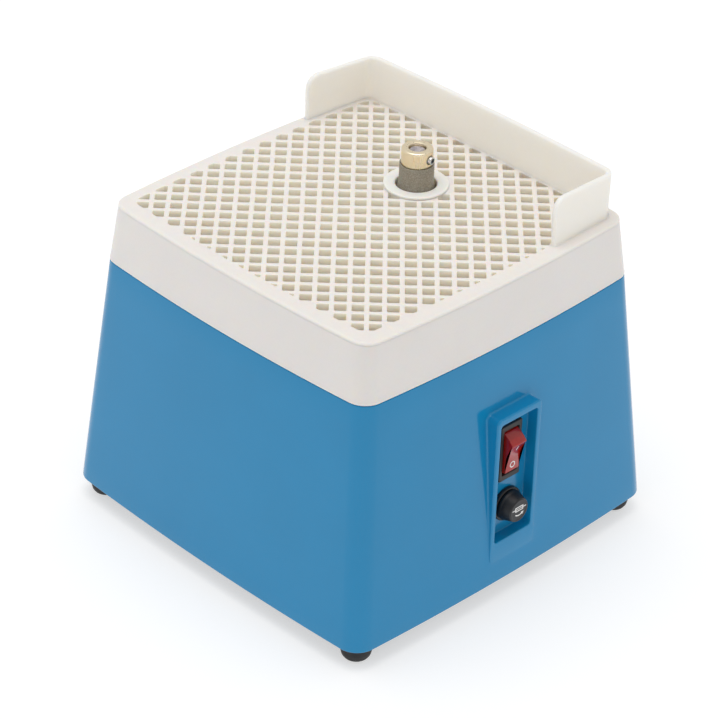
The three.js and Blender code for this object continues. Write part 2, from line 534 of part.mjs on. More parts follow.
// ---------------------------------------------------------------- fuse holder
add('fuse_holder_body', turnedX([[0, 80], [6.1, 80], [6.1, 98.3], [9, 98.3], [9, 99.8], [8.6, 100.2], [4.3, 100.2], [4.3, 82], [0, 82]], 16, 0, FUSE_Z), BLACK, 0.45);
add('fuse_holder_nut', cut(turnedX([[0, 91.6], [9, 91.6], [9, 95.2], [0, 95.2]], 6, 0, FUSE_Z), rodX(6.4, 90, 97, 14, 0, FUSE_Z)), STEEL, 0.35, 1);
add('fuse_cap', turnedX([[3.0, 95.6], [3.9, 95.6], [3.9, 100.5], [8.0, 100.5], [7.6, 102.5], [6.35, 107.0], [5.9, 107.5], [0, 107.5], [0, 103.6], [3.0, 103.6]], 18, 0, FUSE_Z), BLACK, 0.4);
add('fuse_end_cap_inner', rodX(2.6, 82.5, 87.9, 10, 0, FUSE_Z), STEEL, 0.25, 1);
add('fuse_glass_tube', rodX(2.5, 88, 97.9, 10, 0, FUSE_Z), 0xdfe8ea, 0.05);
add('fuse_end_cap_outer', rodX(2.6, 98, 103.3, 10, 0, FUSE_Z), STEEL, 0.25, 1);
add('fuse_terminal_rear', box(73, 79.7, -2.4, 2.4, FUSE_Z - 0.4, FUSE_Z + 0.4), BRASS, 0.35, 1);

// ---------------------------------------------------------------- cable inlet and wiring
add('cable_inlet_grommet', turned([[3.6, -6.2], [6.9, -6.2], [6.9, -3.9], [5.7, -3.7], [5.7, 0.5], [8.2, 0.5], [7.8, 2.0], [3.6, 2.6]], 14, atGland), RUBBER, 0.7);

function wire(name, points, color) {
  const curve = new THREE.CatmullRomCurve3(points.map((p) => new THREE.Vector3(...p)), false, 'centripetal');
  const ring = new THREE.Shape();
  for (let i = 0; i < 5; i++) {
    const a = (i * Math.PI) / 2.5;
    if (i) ring.lineTo(1.2 * Math.cos(a), 1.2 * Math.sin(a));
    else ring.moveTo(1.2, 0);
  }
  const g = new THREE.ExtrudeGeometry(ring, { steps: 11, bevelEnabled: false, extrudePath: curve });
  add(name, toSolid(g), color, 0.5);
}
wire('wire_live_to_fuse', [[46.5, 95.5, 25.6], [50, 86, 20], [62, 66, 14], [68, 30, 15], [69, 8, 28], [71.4, 0.5, FUSE_Z]], 0x6b4a32);
wire('wire_fuse_to_switch', [[74, -4.0, FUSE_Z], [68.5, -9, 49], [68, -9, 58], [71, -5, 64], [75, -1, SWITCH_Z - 8]], 0x6b4a32);
wire('wire_switch_to_motor', [[75, 0, SWITCH_Z + 8], [69, 2, 81], [60, 10, 77], [50, 17, 66], [40.4, 19, 61.5]], 0x2b2b2e);
wire('wire_neutral_to_motor', [[43, 95.5, 26], [38, 88, 27], [30, 83, 40], [20, 80, 54], [10, 78.8, 61.5]], 0x3465a4);

export default root;
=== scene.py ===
import math

import bmesh
import bpy
import numpy as np
from mathutils import Matrix, Vector, noise
from mathutils.geometry import delaunay_2d_cdt


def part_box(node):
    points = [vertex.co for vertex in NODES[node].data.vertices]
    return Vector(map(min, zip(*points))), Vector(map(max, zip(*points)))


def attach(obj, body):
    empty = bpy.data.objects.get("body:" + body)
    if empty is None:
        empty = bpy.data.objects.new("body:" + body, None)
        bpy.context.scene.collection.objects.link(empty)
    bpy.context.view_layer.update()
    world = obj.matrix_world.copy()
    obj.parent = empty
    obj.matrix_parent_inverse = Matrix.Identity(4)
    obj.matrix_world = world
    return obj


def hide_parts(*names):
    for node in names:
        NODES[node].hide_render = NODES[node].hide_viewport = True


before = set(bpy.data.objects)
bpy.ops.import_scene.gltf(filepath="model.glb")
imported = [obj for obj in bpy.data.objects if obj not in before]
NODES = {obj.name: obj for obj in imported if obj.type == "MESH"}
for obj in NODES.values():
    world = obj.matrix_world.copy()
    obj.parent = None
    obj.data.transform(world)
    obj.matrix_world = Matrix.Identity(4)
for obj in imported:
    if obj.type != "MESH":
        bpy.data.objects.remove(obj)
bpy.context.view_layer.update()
MM = 0.001
rad, sin, cos, pi = math.radians, math.sin, math.cos, math.pi


def mm(node):
    lo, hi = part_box(node)
    return [v / MM for v in lo], [v / MM for v in hi]


# ------------------------------------------------------------------ dimensions (as the CAD)
DATUM = 5.0
FOOT_H, SEAM_Z, RIM_Z, TOP_Z = 5.0, 132.9, 161.8, 163.2
BASE_HALF, SEAM_HALF, LID_HALF = 105.2, 93.9, 90.3
BASE_CROWN, SEAM_CROWN, LID_CROWN = 2.5, 3.0, 2.65
BASE_R, SEAM_R, LID_R = 11.4, 10.4, 9.8
WALL, DECK_LO, DECK_HI = 3.0, 115.0, 118.0
SX, SY = -2.3, 34.1
PITCH, BAR, GRID_U, GRID_V, PLATE_LO = 8.0, 2.3, 101.74, -0.09, 159.5
GUARD_TOP, GUARD_X0, GUARD_X1, GUARD_Y0, GUARD_Y1 = 187.4, -89.0, 84.0, 40.3, 85.6
GUARD_CROWN, GUARD_T, GUARD_LEAN = 1.4, 3.0, 0.4
GUARD_RIGHT, GUARD_LEFT, GUARD_TURN = 82.1, -87.9, 0.12
POCKET_X, POCKET_FLOOR = 104.2, 98.0
HOOD = (-15.3, 15.3, 17.0, 99.5)
POCKET = (-12.5, 12.5, 28.0, 95.8)
SWITCH_Z, FUSE_Z = 74.4, 43.7
FLAT_AZ = rad(8)


def lerp(a, b, t):
    return a + (b - a) * t


# ------------------------------------------------------------------ mesh tools
class Shell:
    """Vertices and faces in millimetres, gathered ring by ring."""

    def __init__(self):
        self.v, self.f, self.m = [], [], []

    def ring(self, pts):
        a = len(self.v)
        self.v.extend(tuple(float(c) for c in p) for p in pts)
        return list(range(a, len(self.v)))

    def face(self, idx, mat=0):
        out = [i for k, i in enumerate(idx) if i != idx[k - 1]]
        if len(set(out)) > 2:
            self.f.append(out)
            self.m.append(mat)

    def bridge(self, a, b, closed=True, mat=0):
        n = len(a)
        for i in range(n if closed else n - 1):
            j = (i + 1) % n
            self.face([a[i], a[j], b[j], b[i]], mat)

    def loft(self, rings, closed=True, mat=0):
        for a, b in zip(rings[:-1], rings[1:]):
            self.bridge(a, b, closed, mat)
        return rings

    def lathe(self, prof, seg, place=lambda p: p, mat=0, closed=False, twist=None):
        """prof is [radius, height]; an open one starts and ends on the axis."""
        rings = []
        for r, z in prof:
            if r < 1e-6:
                rings.append(self.ring([place((0, 0, z))]) * seg)
            else:
                rings.append(
                    self.ring(
                        place((r * cos(2 * pi * i / seg), r * sin(2 * pi * i / seg), z))
                        for i in range(seg)
                    )
                )
        if closed:
            rings.append(rings[0])
        self.loft(rings, mat=mat)
        return rings

    def fill(self, boundary, holes=(), mat=0):
        """Triangles between a convex boundary and hole loops. Each loop is (indices, 2-D points)."""
        pts, own, loop, edges = [], [], [], []
        for li, (idx, p2) in enumerate([boundary, *holes]):
            a = len(pts)
            pts += [Vector((float(x), float(y))) for x, y in p2]
            own += list(idx)
            loop += [li] * len(idx)
            edges += [(a + i, a + (i + 1) % len(idx)) for i in range(len(idx))]
        out_v, _, out_f, orig, _, _ = delaunay_2d_cdt(pts, edges, [], 0, 1e-6, True)
        polys = [np.array([[float(x), float(y)] for x, y in p2]) for _, p2 in holes]
        for f in out_f:
            src = [orig[i][0] if orig[i] else None for i in f]
            if None in src or len(set(src)) < 3:
                continue
            ls = {loop[s] for s in src}
            if len(ls) == 1:
                li = ls.pop()
                c = sum((out_v[i] for i in f), Vector((0, 0))) / 3
                if li > 0 and inside(c, polys[li - 1]):
                    continue
            area = (out_v[f[1]] - out_v[f[0]]).cross(out_v[f[2]] - out_v[f[0]])
            if abs(area) < 1e-7:
                continue
            self.face([own[s] for s in src], mat)


def inside(c, poly):
    x, y = c
    a, b = poly, np.roll(poly, -1, axis=0)
    hit = ((a[:, 1] > y) != (b[:, 1] > y)) & (
        x < (b[:, 0] - a[:, 0]) * (y - a[:, 1]) / np.where(a[:, 1] == b[:, 1], 1e-12, b[:, 1] - a[:, 1]) + a[:, 0]
    )
    return bool(hit.sum() % 2)


def soften(pts, radii, n=4, closed=True):
    """A polyline with its corners rounded."""
    out = []
    count = len(pts)
    for i, p in enumerate(pts):
        r = radii[i] if hasattr(radii, "__len__") else radii
        if r <= 0 or (not closed and i in (0, count - 1)):
            out.append(tuple(p))
            continue
        p = np.array(p, float)
        a, b = np.array(pts[i - 1], float) - p, np.array(pts[(i + 1) % count], float) - p
        la, lb = np.linalg.norm(a), np.linalg.norm(b)
        a, b = a / la, b / lb
        ang = math.acos(max(-1, min(1, float(a @ b))))
        if ang > pi - 0.02:
            out.append(tuple(p))
            continue
        t = min(r / math.tan(ang / 2), 0.48 * la, 0.48 * lb)
        q0, q1 = p + a * t, p + b * t
        rr_ = t * math.tan(ang / 2)
        c = p + (a + b) / np.linalg.norm(a + b) * (rr_ / sin(ang / 2))
        a0, a1 = math.atan2(*(q0 - c)[::-1]), math.atan2(*(q1 - c)[::-1])
        d = (a1 - a0 + pi) % (2 * pi) - pi
        for k in range(n + 1):
            w = a0 + d * k / n
            out.append((c[0] + rr_ * cos(w), c[1] + rr_ * sin(w)))
    return out


def normals2(pts):
    """Unit normals to the right of the way round, so outward on an anticlockwise loop."""
    p = np.array(pts, float)
    t = np.roll(p, -1, axis=0) - np.roll(p, 1, axis=0)
    t /= np.maximum(np.linalg.norm(t, axis=1, keepdims=True), 1e-9)
    return np.stack([t[:, 1], -t[:, 0]], axis=1)


def build(name, sh, body, mats, replaces=(), angle=32, bevel=None, weld=2e-4):
    me = bpy.data.meshes.new(name)
    v = (np.array(sh.v, float) + (0, 0, DATUM)) * MM
    me.from_pydata(v.tolist(), [], sh.f)
    for m in mats if isinstance(mats, (list, tuple)) else [mats]:
        me.materials.append(m)
    me.polygons.foreach_set("material_index", sh.m)
    bm = bmesh.new()
    bm.from_mesh(me)
    bmesh.ops.remove_doubles(bm, verts=bm.verts, dist=weld * MM)
    bmesh.ops.dissolve_degenerate(bm, edges=bm.edges, dist=weld * MM)
    bmesh.ops.recalc_face_normals(bm, faces=bm.faces)
    bm.to_mesh(me)
    bm.free()
    me.polygons.foreach_set("use_smooth", [True] * len(me.polygons))
    me.set_sharp_from_angle(angle=rad(angle))
    me.update()
    ob = bpy.data.objects.new(name, me)
    bpy.context.scene.collection.objects.link(ob)
    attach(ob, body)
    if replaces:
        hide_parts(*replaces)
    return ob


def baked(ob, angle=32):
    """Applies the modifiers of a piece to its mesh."""
    dg = bpy.context.evaluated_depsgraph_get()
    me = bpy.data.meshes.new_from_object(ob.evaluated_get(dg))
    mats = list(ob.data.materials)
    ob.modifiers.clear()
    ob.data = me
    if not len(me.materials):
        for m in mats:
            me.materials.append(m)
    me.polygons.foreach_set("use_smooth", [True] * len(me.polygons))
    me.set_sharp_from_angle(angle=rad(angle))
    me.update()
    return ob


def cut_with(ob, cutter_shell, angle=32, operation="DIFFERENCE", weld=1e-4):
    me = bpy.data.meshes.new("cutter")
    me.from_pydata(((np.array(cutter_shell.v, float) + (0, 0, DATUM)) * MM).tolist(), [], cutter_shell.f)
    if operation == "UNION":
        for m in ob.data.materials:
            me.materials.append(m)
        me.polygons.foreach_set("material_index", cutter_shell.m)
    bm = bmesh.new()
    bm.from_mesh(me)
    bmesh.ops.remove_doubles(bm, verts=bm.verts, dist=weld * MM)
    bmesh.ops.dissolve_degenerate(bm, edges=bm.edges, dist=weld * MM)
    bmesh.ops.recalc_face_normals(bm, faces=bm.faces)
    bm.to_mesh(me)
    bm.free()
    c = bpy.data.objects.new("cutter", me)
    bpy.context.scene.collection.objects.link(c)
    mod = ob.modifiers.new("cut", "BOOLEAN")
    mod.operation, mod.solver, mod.object = operation, "EXACT", c
    bpy.context.view_layer.update()
    baked(ob, angle)
    bpy.data.objects.remove(c)
    bpy.data.meshes.remove(me)
    return ob


# ------------------------------------------------------------------ outlines
BREAKS, SEGS, ARC = [-57, -33, -20, 20, 33, 57], [4, 4, 2, 8, 2, 4, 4], 10
NS = sum(SEGS)
PER_SIDE = NS + ARC  # points from the start of one side to the start of the next


def side_places(reach):
    ends = [-reach, *BREAKS, reach]
    ys = []
    for a, b, n in zip(ends[:-1], ends[1:], SEGS):
        ys += list(np.linspace(a, b, n, endpoint=False))
    return ys + [reach]


def outline(half, crown, radius, half_y=None, cx=0.0, cy=0.0):
    half_y = half if half_y is None else half_y
    pts = []
    for k in range(4):
        hh, vv = (half_y, half) if k % 2 else (half, half_y)
        h, v = hh - radius, vv - radius
        y_end = v - crown
        stretch = 1 + 2 * crown * radius / y_end**2
        ca, sa = round(cos(k * pi / 2)), round(sin(k * pi / 2))

        def put(x, y):
            pts.append((x * ca - y * sa + cx, x * sa + y * ca + cy))

        last = None
        for y_at in side_places(y_end * stretch):
            t = y_at / (y_end * stretch)
            x, y = h - crown * t * t, t * y_end
            nx, ny = y_end, 2 * crown * t
            ln = math.hypot(nx, ny)
            nx, ny = nx / ln, ny / ln
            put(x + radius * nx, y + radius * ny)
            last = (x, y, math.atan2(ny, nx))
        a1 = pi / 2 - last[2]
        for i in range(1, ARC):
            a = last[2] + (a1 - last[2]) * i / ARC
            put(last[0] + radius * cos(a), last[1] + radius * sin(a))
    return pts


def case_t(z):
    return (SEAM_Z - z) / (SEAM_Z - FOOT_H)


def case_half(z):
    return lerp(SEAM_HALF, BASE_HALF, case_t(z))


def case_crown(z):
    return lerp(SEAM_CROWN, BASE_CROWN, case_t(z))


def case_ring(z, inset=0.0):
    r = max(lerp(SEAM_R, BASE_R, case_t(z)) - inset, 1.0)
    return [(x, y, z) for x, y in outline(case_half(z) - inset, case_crown(z), r)]


def wall_x(y, z, inset=0.0):
    """How far out a casing side is at y along it."""
    h, c = case_half(z) - inset, case_crown(z)
    r = max(lerp(SEAM_R, BASE_R, case_t(z)) - inset, 1.0)
    y_end = h - r - c
    return h - c * (y / (y_end * (1 + 2 * c * r / y_end**2))) ** 2


def tray_ring(z, inset=0.0):
    t = (z - SEAM_Z) / (RIM_Z - SEAM_Z)
    r = max(lerp(SEAM_R, LID_R, t) - inset, 1.0)
    return [(x, y, z) for x, y in outline(lerp(SEAM_HALF, LID_HALF - 0.1, t) - inset, lerp(SEAM_CROWN, LID_CROWN, t), r)]


def ring_at(half, crown, r, z):
    return [(x, y, z) for x, y in outline(half, crown, r)]


def circle(r, n, cx=0.0, cy=0.0, phase=0.0):
    return [(cx + r * cos(2 * pi * i / n + phase), cy + r * sin(2 * pi * i / n + phase)) for i in range(n)]


def rr(y0, y1, z0, z1, r, ny=10, nz=24, nc=8):
    """Rounded rectangle, anticlockwise, with fixed counts so that rings of it join one to one."""
    pts = []
    for cy, cz, a0, (ty, tz), n in [
        (y1 - r, z0 + r, -90, (0, 1), nz),
        (y1 - r, z1 - r, 0, (-1, 0), ny),
        (y0 + r, z1 - r, 90, (0, -1), nz),
        (y0 + r, z0 + r, 180, (1, 0), ny),
    ]:
        for i in range(nc + 1):
            a = rad(a0 + 90 * i / nc)
            pts.append((cy + r * cos(a), cz + r * sin(a)))
        span = (z1 - z0 - 2 * r) if ty == 0 else (y1 - y0 - 2 * r)
        ly, lz = pts[-1]
        for i in range(1, n):
            pts.append((ly + ty * span * i / n, lz + tz * span * i / n))
    return pts


def rr_normals(r, ny=10, nz=24, nc=8):
    out = []
    for a0, n in [(-90, nz), (0, ny), (90, nz), (180, ny)]:
        for i in range(nc + 1):
            a = rad(a0 + 90 * i / nc)
            out.append((cos(a), sin(a)))
        a = rad(a0 + 90)
        out += [(cos(a), sin(a))] * (n - 1)
    return out


# ------------------------------------------------------------------ materials
def srgb(r, g, b):
    return tuple((c / 12.92 if c <= 0.04045 else ((c + 0.055) / 1.055) ** 2.4) for c in (r / 255, g / 255, b / 255))


class Mat:
    """A node material: colour, roughness and bump all come from procedural textures in object space."""

    def __init__(self, name, base, rough, metallic=0.0, ior=1.5, coat=0.0, coat_rough=0.05):
        self.m = bpy.data.materials.new(name)
        self.m.use_nodes = True
        nt = self.nt = self.m.node_tree
        nt.nodes.clear()
        self.out = nt.nodes.new("ShaderNodeOutputMaterial")
        self.b = nt.nodes.new("ShaderNodeBsdfPrincipled")
        nt.links.new(self.b.outputs[0], self.out.inputs[0])
        self.b.inputs["Metallic"].default_value = metallic
        self.b.inputs["IOR"].default_value = ior
        if coat:
            self.b.inputs["Coat Weight"].default_value = coat
            self.b.inputs["Coat Roughness"].default_value = coat_rough
        self.co = nt.nodes.new("ShaderNodeTexCoord")
        self.base, self.rough = base, rough
        self.b.inputs["Base Color"].default_value = (*base, 1)
        self.b.inputs["Roughness"].default_value = rough

    def node(self, kind, **props):
        n = self.nt.nodes.new(kind)
        for k, v in props.items():
            setattr(n, k, v)
        return n

    def link(self, a, b):
        self.nt.links.new(a, b)

    def scaled(self, scale):
        """Object coordinates times a 3-vector, for stretched textures."""
        mp = self.node("ShaderNodeMapping")
        mp.inputs["Scale"].default_value = scale
        self.link(self.co.outputs["Object"], mp.inputs["Vector"])
        return mp.outputs[0]

    def noise(self, scale, detail=3.0, rough=0.55, vec=None, distortion=0.0):
        n = self.node("ShaderNodeTexNoise")
        n.inputs["Scale"].default_value = scale
        n.inputs["Detail"].default_value = detail
        n.inputs["Roughness"].default_value = rough
        n.inputs["Distortion"].default_value = distortion
        self.link(vec or self.co.outputs["Object"], n.inputs["Vector"])
        return n.outputs["Fac"]

    def voronoi(self, scale, feature="F1", vec=None, randomness=1.0):
        n = self.node("ShaderNodeTexVoronoi", feature=feature)
        n.inputs["Scale"].default_value = scale
        n.inputs["Randomness"].default_value = randomness
        self.link(vec or self.co.outputs["Object"], n.inputs["Vector"])
        return n.outputs["Distance"]

    def ramp(self, fac, stops):
        n = self.node("ShaderNodeValToRGB")
        e = n.color_ramp.elements
        while len(e) < len(stops):
            e.new(0.5)
        for el, (p, c) in zip(e, stops):
            el.position = p
            el.color = (*c, 1) if hasattr(c, "__len__") else (c, c, c, 1)
        self.link(fac, n.inputs[0])
        return n.outputs[0]

    def range(self, fac, lo, hi, f0=0.3, f1=0.7):
        n = self.node("ShaderNodeMapRange")
        for k, v in zip(("From Min", "From Max", "To Min", "To Max"), (f0, f1, lo, hi)):
            n.inputs[k].default_value = v
        self.link(fac, n.inputs["Value"])
        return n.outputs[0]

    def mix(self, fac, a, b, kind="MIX"):
        n = self.node("ShaderNodeMix", data_type="RGBA", blend_type=kind)
        for sock, val in ((n.inputs[0], fac), (n.inputs[6], a), (n.inputs[7], b)):
            if hasattr(val, "links"):
                self.link(val, sock)
            elif hasattr(val, "__len__"):
                sock.default_value = (*val, 1)
            else:
                sock.default_value = val
        return n.outputs[2]

    def math(self, op, a, b=0.0):
        n = self.node("ShaderNodeMath", operation=op)
        for sock, val in ((n.inputs[0], a), (n.inputs[1], b)):
            if hasattr(val, "links"):
                self.link(val, sock)
            else:
                sock.default_value = val
        return n.outputs[0]

    def colour(self, out):
        self.link(out, self.b.inputs["Base Color"])
        return self

    def roughness(self, out):
        self.link(out, self.b.inputs["Roughness"])
        return self

    def bump(self, height, distance, strength=1.0):
        n = self.node("ShaderNodeBump")
        n.inputs["Strength"].default_value = strength
        n.inputs["Distance"].default_value = distance
        self.link(height, n.inputs["Height"])
        if self.b.inputs["Normal"].links:
            self.link(self.b.inputs["Normal"].links[0].from_socket, n.inputs["Normal"])
        self.link(n.outputs[0], self.b.inputs["Normal"])
        return self


def tint(c, k):
    return tuple(max(0.0, min(1.0, v * k)) for v in c)


def moulded(name, base, rough, grain=0.0, grain_scale=1400, var=0.04, rough_var=0.06, peel=0.0, depth=0.0, soak=(1.0, 0.8, 0.6), **kw):
    """Injection-moulded plastic: slow colour drift, faint flow marks, patchy gloss and a fine surface grain."""
    m = Mat(name, base, rough, **kw)
    if depth:
        # light soaks through thin walls and comes out warmer
        m.b.inputs["Subsurface Weight"].default_value = 1.0
        m.b.inputs["Subsurface Radius"].default_value = soak
        m.b.inputs["Subsurface Scale"].default_value = depth * MM
    slow = m.noise(22, 4, 0.5, distortion=0.4)
    speck = m.noise(grain_scale * 0.35, 2, 0.6)
    c = m.ramp(slow, [(0.3, tint(base, 1 - var)), (0.7, tint(base, 1 + var))])
    c = m.mix(m.range(speck, 0.0, 0.10, 0.35, 0.75), c, tint(base, 0.86))
    m.colour(c)
    gloss = m.noise(38, 5, 0.6, distortion=0.6)
    m.roughness(m.range(gloss, rough - rough_var, rough + rough_var))
    if peel:
        m.bump(m.noise(130, 2, 0.4), peel * MM)
    if grain:
        m.bump(m.noise(grain_scale, 3, 0.6), grain * MM)
    return m.m


BLUE_C = (0.0048, 0.236, 0.484)
WHITE_C = (0.925, 0.893, 0.840)
casing_blue = moulded("casing_blue", BLUE_C, 0.12, ior=1.46, grain=0.004, grain_scale=2600, var=0.025, rough_var=0.03, peel=0.010)
tray_white = moulded("tray_white", (0.820, 0.790, 0.765), 0.36, depth=1.0, grain=0.012, grain_scale=2200, var=0.012, rough_var=0.06, peel=0.006)
# the guard's white is the worktop white made lighter and warmer: painted light on the guard's faces
guard_painted_light_white = moulded("guard_painted_light_white", (0.950, 0.872, 0.795), 0.38, depth=9.0, soak=(1.0, 0.88, 0.72), grain=0.014, grain_scale=2200, var=0.012, rough_var=0.07, peel=0.006)
# the cells' white is the worktop white made lighter and warmer: painted light on the cell walls and inside the tray
cell_painted_light_white = moulded("cell_painted_light_white", (0.975, 0.895, 0.800), 0.38, depth=2.0, soak=(1.0, 0.88, 0.72), grain=0.014, grain_scale=2200, var=0.012, rough_var=0.07, peel=0.006)
lid_white = moulded("worktop_white", (0.862, 0.820, 0.780), 0.38, depth=1.4, grain=0.014, grain_scale=2200, var=0.012, rough_var=0.07, peel=0.006)
ring_white = moulded("ring_white", WHITE_C, 0.33, depth=1.4, grain=0.008, grain_scale=2400, var=0.010, rough_var=0.05)
black_plastic = moulded("black_plastic", (0.0095, 0.0095, 0.0105), 0.36, grain=0.020, grain_scale=3200, var=0.10, rough_var=0.07)
bezel_black = moulded("bezel_black", (0.026, 0.0245, 0.0245), 0.42, grain=0.016, grain_scale=3600, var=0.10, rough_var=0.06)
base_black = moulded("base_black", (0.016, 0.016, 0.017), 0.55, grain=0.05, grain_scale=1500, var=0.15, rough_var=0.08)
fan_plastic = moulded("fan_plastic", (0.03, 0.03, 0.034), 0.5, grain=0.03, var=0.12)
capacitor_case = moulded("capacitor_case", (0.62, 0.60, 0.55), 0.4, grain=0.01, var=0.05)


def rubber(name, base=(0.011, 0.011, 0.012)):
    m = Mat(name, base, 0.62)
    dust = m.noise(170, 5, 0.65)
    m.colour(m.mix(m.range(dust, 0.0, 0.55, 0.52, 0.78), m.ramp(m.noise(60, 3), [(0.3, tint(base, 0.8)), (0.7, tint(base, 1.5))]), (0.075, 0.072, 0.068)))
    m.roughness(m.range(m.noise(240, 4), 0.48, 0.74))
    m.bump(m.noise(1900, 3, 0.6), 0.035 * MM)
    return m.m


def metal(name, base, rough, brush=None, dirt=0.0, scratch=0.0, pit=0.0, mottle=0.16, fleck=0.35):
    """brush is the stretch of the grain along x, y and z: large numbers across the marks."""
    m = Mat(name, base, rough, metallic=1.0)
    vec = m.scaled(brush) if brush else None
    grain = m.noise(1.0 if brush else 900, 4, 0.7, vec=vec)
    tone = m.ramp(m.noise(120, 4, 0.6), [(0.25, tint(base, 1 - mottle)), (0.75, tint(base, 1 + mottle / 2))])
    tone = m.mix(m.range(grain, 0.0, fleck, 0.4, 0.8), tone, tint(base, 0.72))
    if dirt:
        tone = m.mix(m.range(m.noise(260, 6, 0.7), 0.0, dirt, 0.52, 0.72), tone, tint(base, 0.25))
    m.colour(tone)
    m.roughness(m.range(grain, rough - 0.08, rough + 0.14, 0.3, 0.75))
    m.bump(grain, (0.010 + scratch) * MM, 0.6)
    if pit:
        m.bump(m.noise(700, 5, 0.7), pit * MM)
    return m.m


foot_rubber = rubber("foot_rubber")
seal_rubber = rubber("seal_rubber", (0.014, 0.013, 0.012))
zinc_steel = metal("zinc_steel", (0.66, 0.66, 0.64), 0.34, dirt=0.3)
screw_steel = metal("screw_steel", (0.72, 0.71, 0.70), 0.26, dirt=0.15)
shaft_steel = metal("shaft_steel", (0.63, 0.61, 0.62), 0.28, brush=(300, 300, 6000), dirt=0.25)
bearing_steel = metal("bearing_steel", (0.74, 0.75, 0.76), 0.18)
cast_aluminium = metal("cast_aluminium", (0.58, 0.59, 0.60), 0.5, pit=0.05, dirt=0.2)
lamination_steel = metal("lamination_steel", (0.30, 0.30, 0.31), 0.5, brush=(60, 60, 9000), dirt=0.3)
varnished_copper = metal("varnished_copper", (0.62, 0.24, 0.10), 0.38, brush=(500, 500, 4000), dirt=0.2)
terminal_brass = metal("terminal_brass", (0.72, 0.55, 0.25), 0.32, dirt=0.15)
fuse_metal = metal("fuse_metal", (0.76, 0.75, 0.72), 0.22)
head_brass = metal("head_brass", (0.95, 0.82, 0.59), 0.30, brush=(450, 450, 40), mottle=0.05, fleck=0.16)


def end_steel():
    m = Mat("shaft_end_steel", (0.62, 0.58, 0.62), 0.4, metallic=1.0)
    chip = m.voronoi(900, randomness=0.9)
    m.colour(m.ramp(m.noise(420, 5, 0.7), [(0.32, (0.34, 0.31, 0.34)), (0.62, (0.74, 0.70, 0.74))]))
    m.roughness(m.range(m.noise(500, 4), 0.28, 0.6))
    m.bump(chip, 0.25 * MM, 0.7)
    m.bump(m.noise(1500, 4, 0.7), 0.10 * MM)
    return m.m


def grit():
    """Diamond grit plated in nickel: a dull grey-brown bond with bright and dark grains."""
    m = Mat("diamond_grit", (0.25, 0.225, 0.175), 0.62, metallic=0.35)
    grains = m.voronoi(2600, randomness=1.0)
    shade = m.noise(1500, 4, 0.7)
    c = m.ramp(shade, [(0.30, (0.20, 0.178, 0.138)), (0.50, (0.36, 0.328, 0.262)), (0.72, (0.56, 0.525, 0.445))])
    c = m.mix(m.range(m.noise(90, 3), 0.0, 0.4, 0.4, 0.75), c, (0.27, 0.24, 0.18))
    c = m.mix(m.range(grains, 0.55, 0.0, 0.05, 0.30), c, (0.62, 0.59, 0.53))
    m.colour(c)
    m.roughness(m.range(shade, 0.42, 0.82))
    m.bump(grains, 0.10 * MM, 0.8)
    m.bump(m.noise(3400, 3, 0.7), 0.05 * MM)
    return m.m


diamond_grit = grit()


def foam():
    m = Mat("sponge_foam", (0.74, 0.50, 0.14), 0.9)
    cells = m.voronoi(900, randomness=1.0)
    big = m.voronoi(330, randomness=1.0)
    c = m.ramp(m.noise(50, 4), [(0.3, (0.66, 0.43, 0.11)), (0.7, (0.82, 0.58, 0.19))])
    # pore centres, where the bump dips, are darkened: painted shade in the pits of the foam
    c = m.mix(m.range(cells, 0.75, 0.0, 0.0, 0.35), c, (0.33, 0.19, 0.035))
    c = m.mix(m.range(big, 0.5, 0.0, 0.0, 0.22), c, (0.26, 0.15, 0.03))
    m.colour(c)
    m.roughness(m.range(cells, 0.98, 0.8))
    m.bump(cells, 0.5 * MM, 1.0)
    m.bump(big, 0.7 * MM, 0.8)
    return m.m


sponge_foam = foam()


def red_rocker():
    m = Mat("rocker_red", (0.38, 0.008, 0.005), 0.16, coat=0.45, coat_rough=0.07)
    m.colour(m.ramp(m.noise(140, 4, 0.55), [(0.3, (0.34, 0.007, 0.004)), (0.7, (0.42, 0.010, 0.006))]))
    m.roughness(m.range(m.noise(300, 4), 0.12, 0.24))
    m.bump(m.noise(2400, 2), 0.006 * MM)
    return m.m


rocker_red = red_rocker()


def print_white(name, base=(0.88, 0.87, 0.85)):
    m = Mat(name, base, 0.45)
    m.colour(m.ramp(m.noise(1600, 4, 0.7), [(0.25, tint(base, 0.82)), (0.7, tint(base, 1.08))]))
    m.roughness(m.range(m.noise(900, 3), 0.36, 0.56))
    m.bump(m.noise(3000, 3), 0.008 * MM)
    return m.m


mark_white = print_white("mark_white")


def glass():
    m = Mat("fuse_glass", (0.93, 0.96, 0.95), 0.04, ior=1.47)
    m.b.inputs["Transmission Weight"].default_value = 1.0
    m.colour(m.ramp(m.noise(200, 3), [(0.3, (0.90, 0.94, 0.93)), (0.7, (0.97, 0.99, 0.98))]))
    m.roughness(m.range(m.noise(500, 3), 0.02, 0.08))
    return m.m


fuse_glass = glass()


def insulation(name, base):
    m = Mat(name, base, 0.42)
    m.colour(m.ramp(m.noise(180, 4), [(0.3, tint(base, 0.8)), (0.7, tint(base, 1.2))]))
    m.roughness(m.range(m.noise(400, 3), 0.34, 0.52))
    m.bump(m.noise(1500, 3), 0.02 * MM)
    return m.m


wire_brown = insulation("wire_brown", (0.13, 0.055, 0.024))
wire_black = insulation("wire_black", (0.02, 0.02, 0.022))
wire_blue = insulation("wire_blue", (0.03, 0.12, 0.37))

CORNERS = [("front_left", -91, -91), ("front_right", 91, -91), ("rear_right", 91, 91), ("rear_left", -91, 91)]
BOLTS = [(x + SX, y + SY) for x, y in [(-25.5, -25.5), (25.5, -25.5), (25.5, 25.5), (-25.5, 25.5)]]
GLAND_TILT = math.atan((BASE_HALF - SEAM_HALF) / (SEAM_Z - FOOT_H))
GLAND = (45.0, case_half(26.0) - BASE_CROWN * (45 / 91.3) ** 2, 26.0)


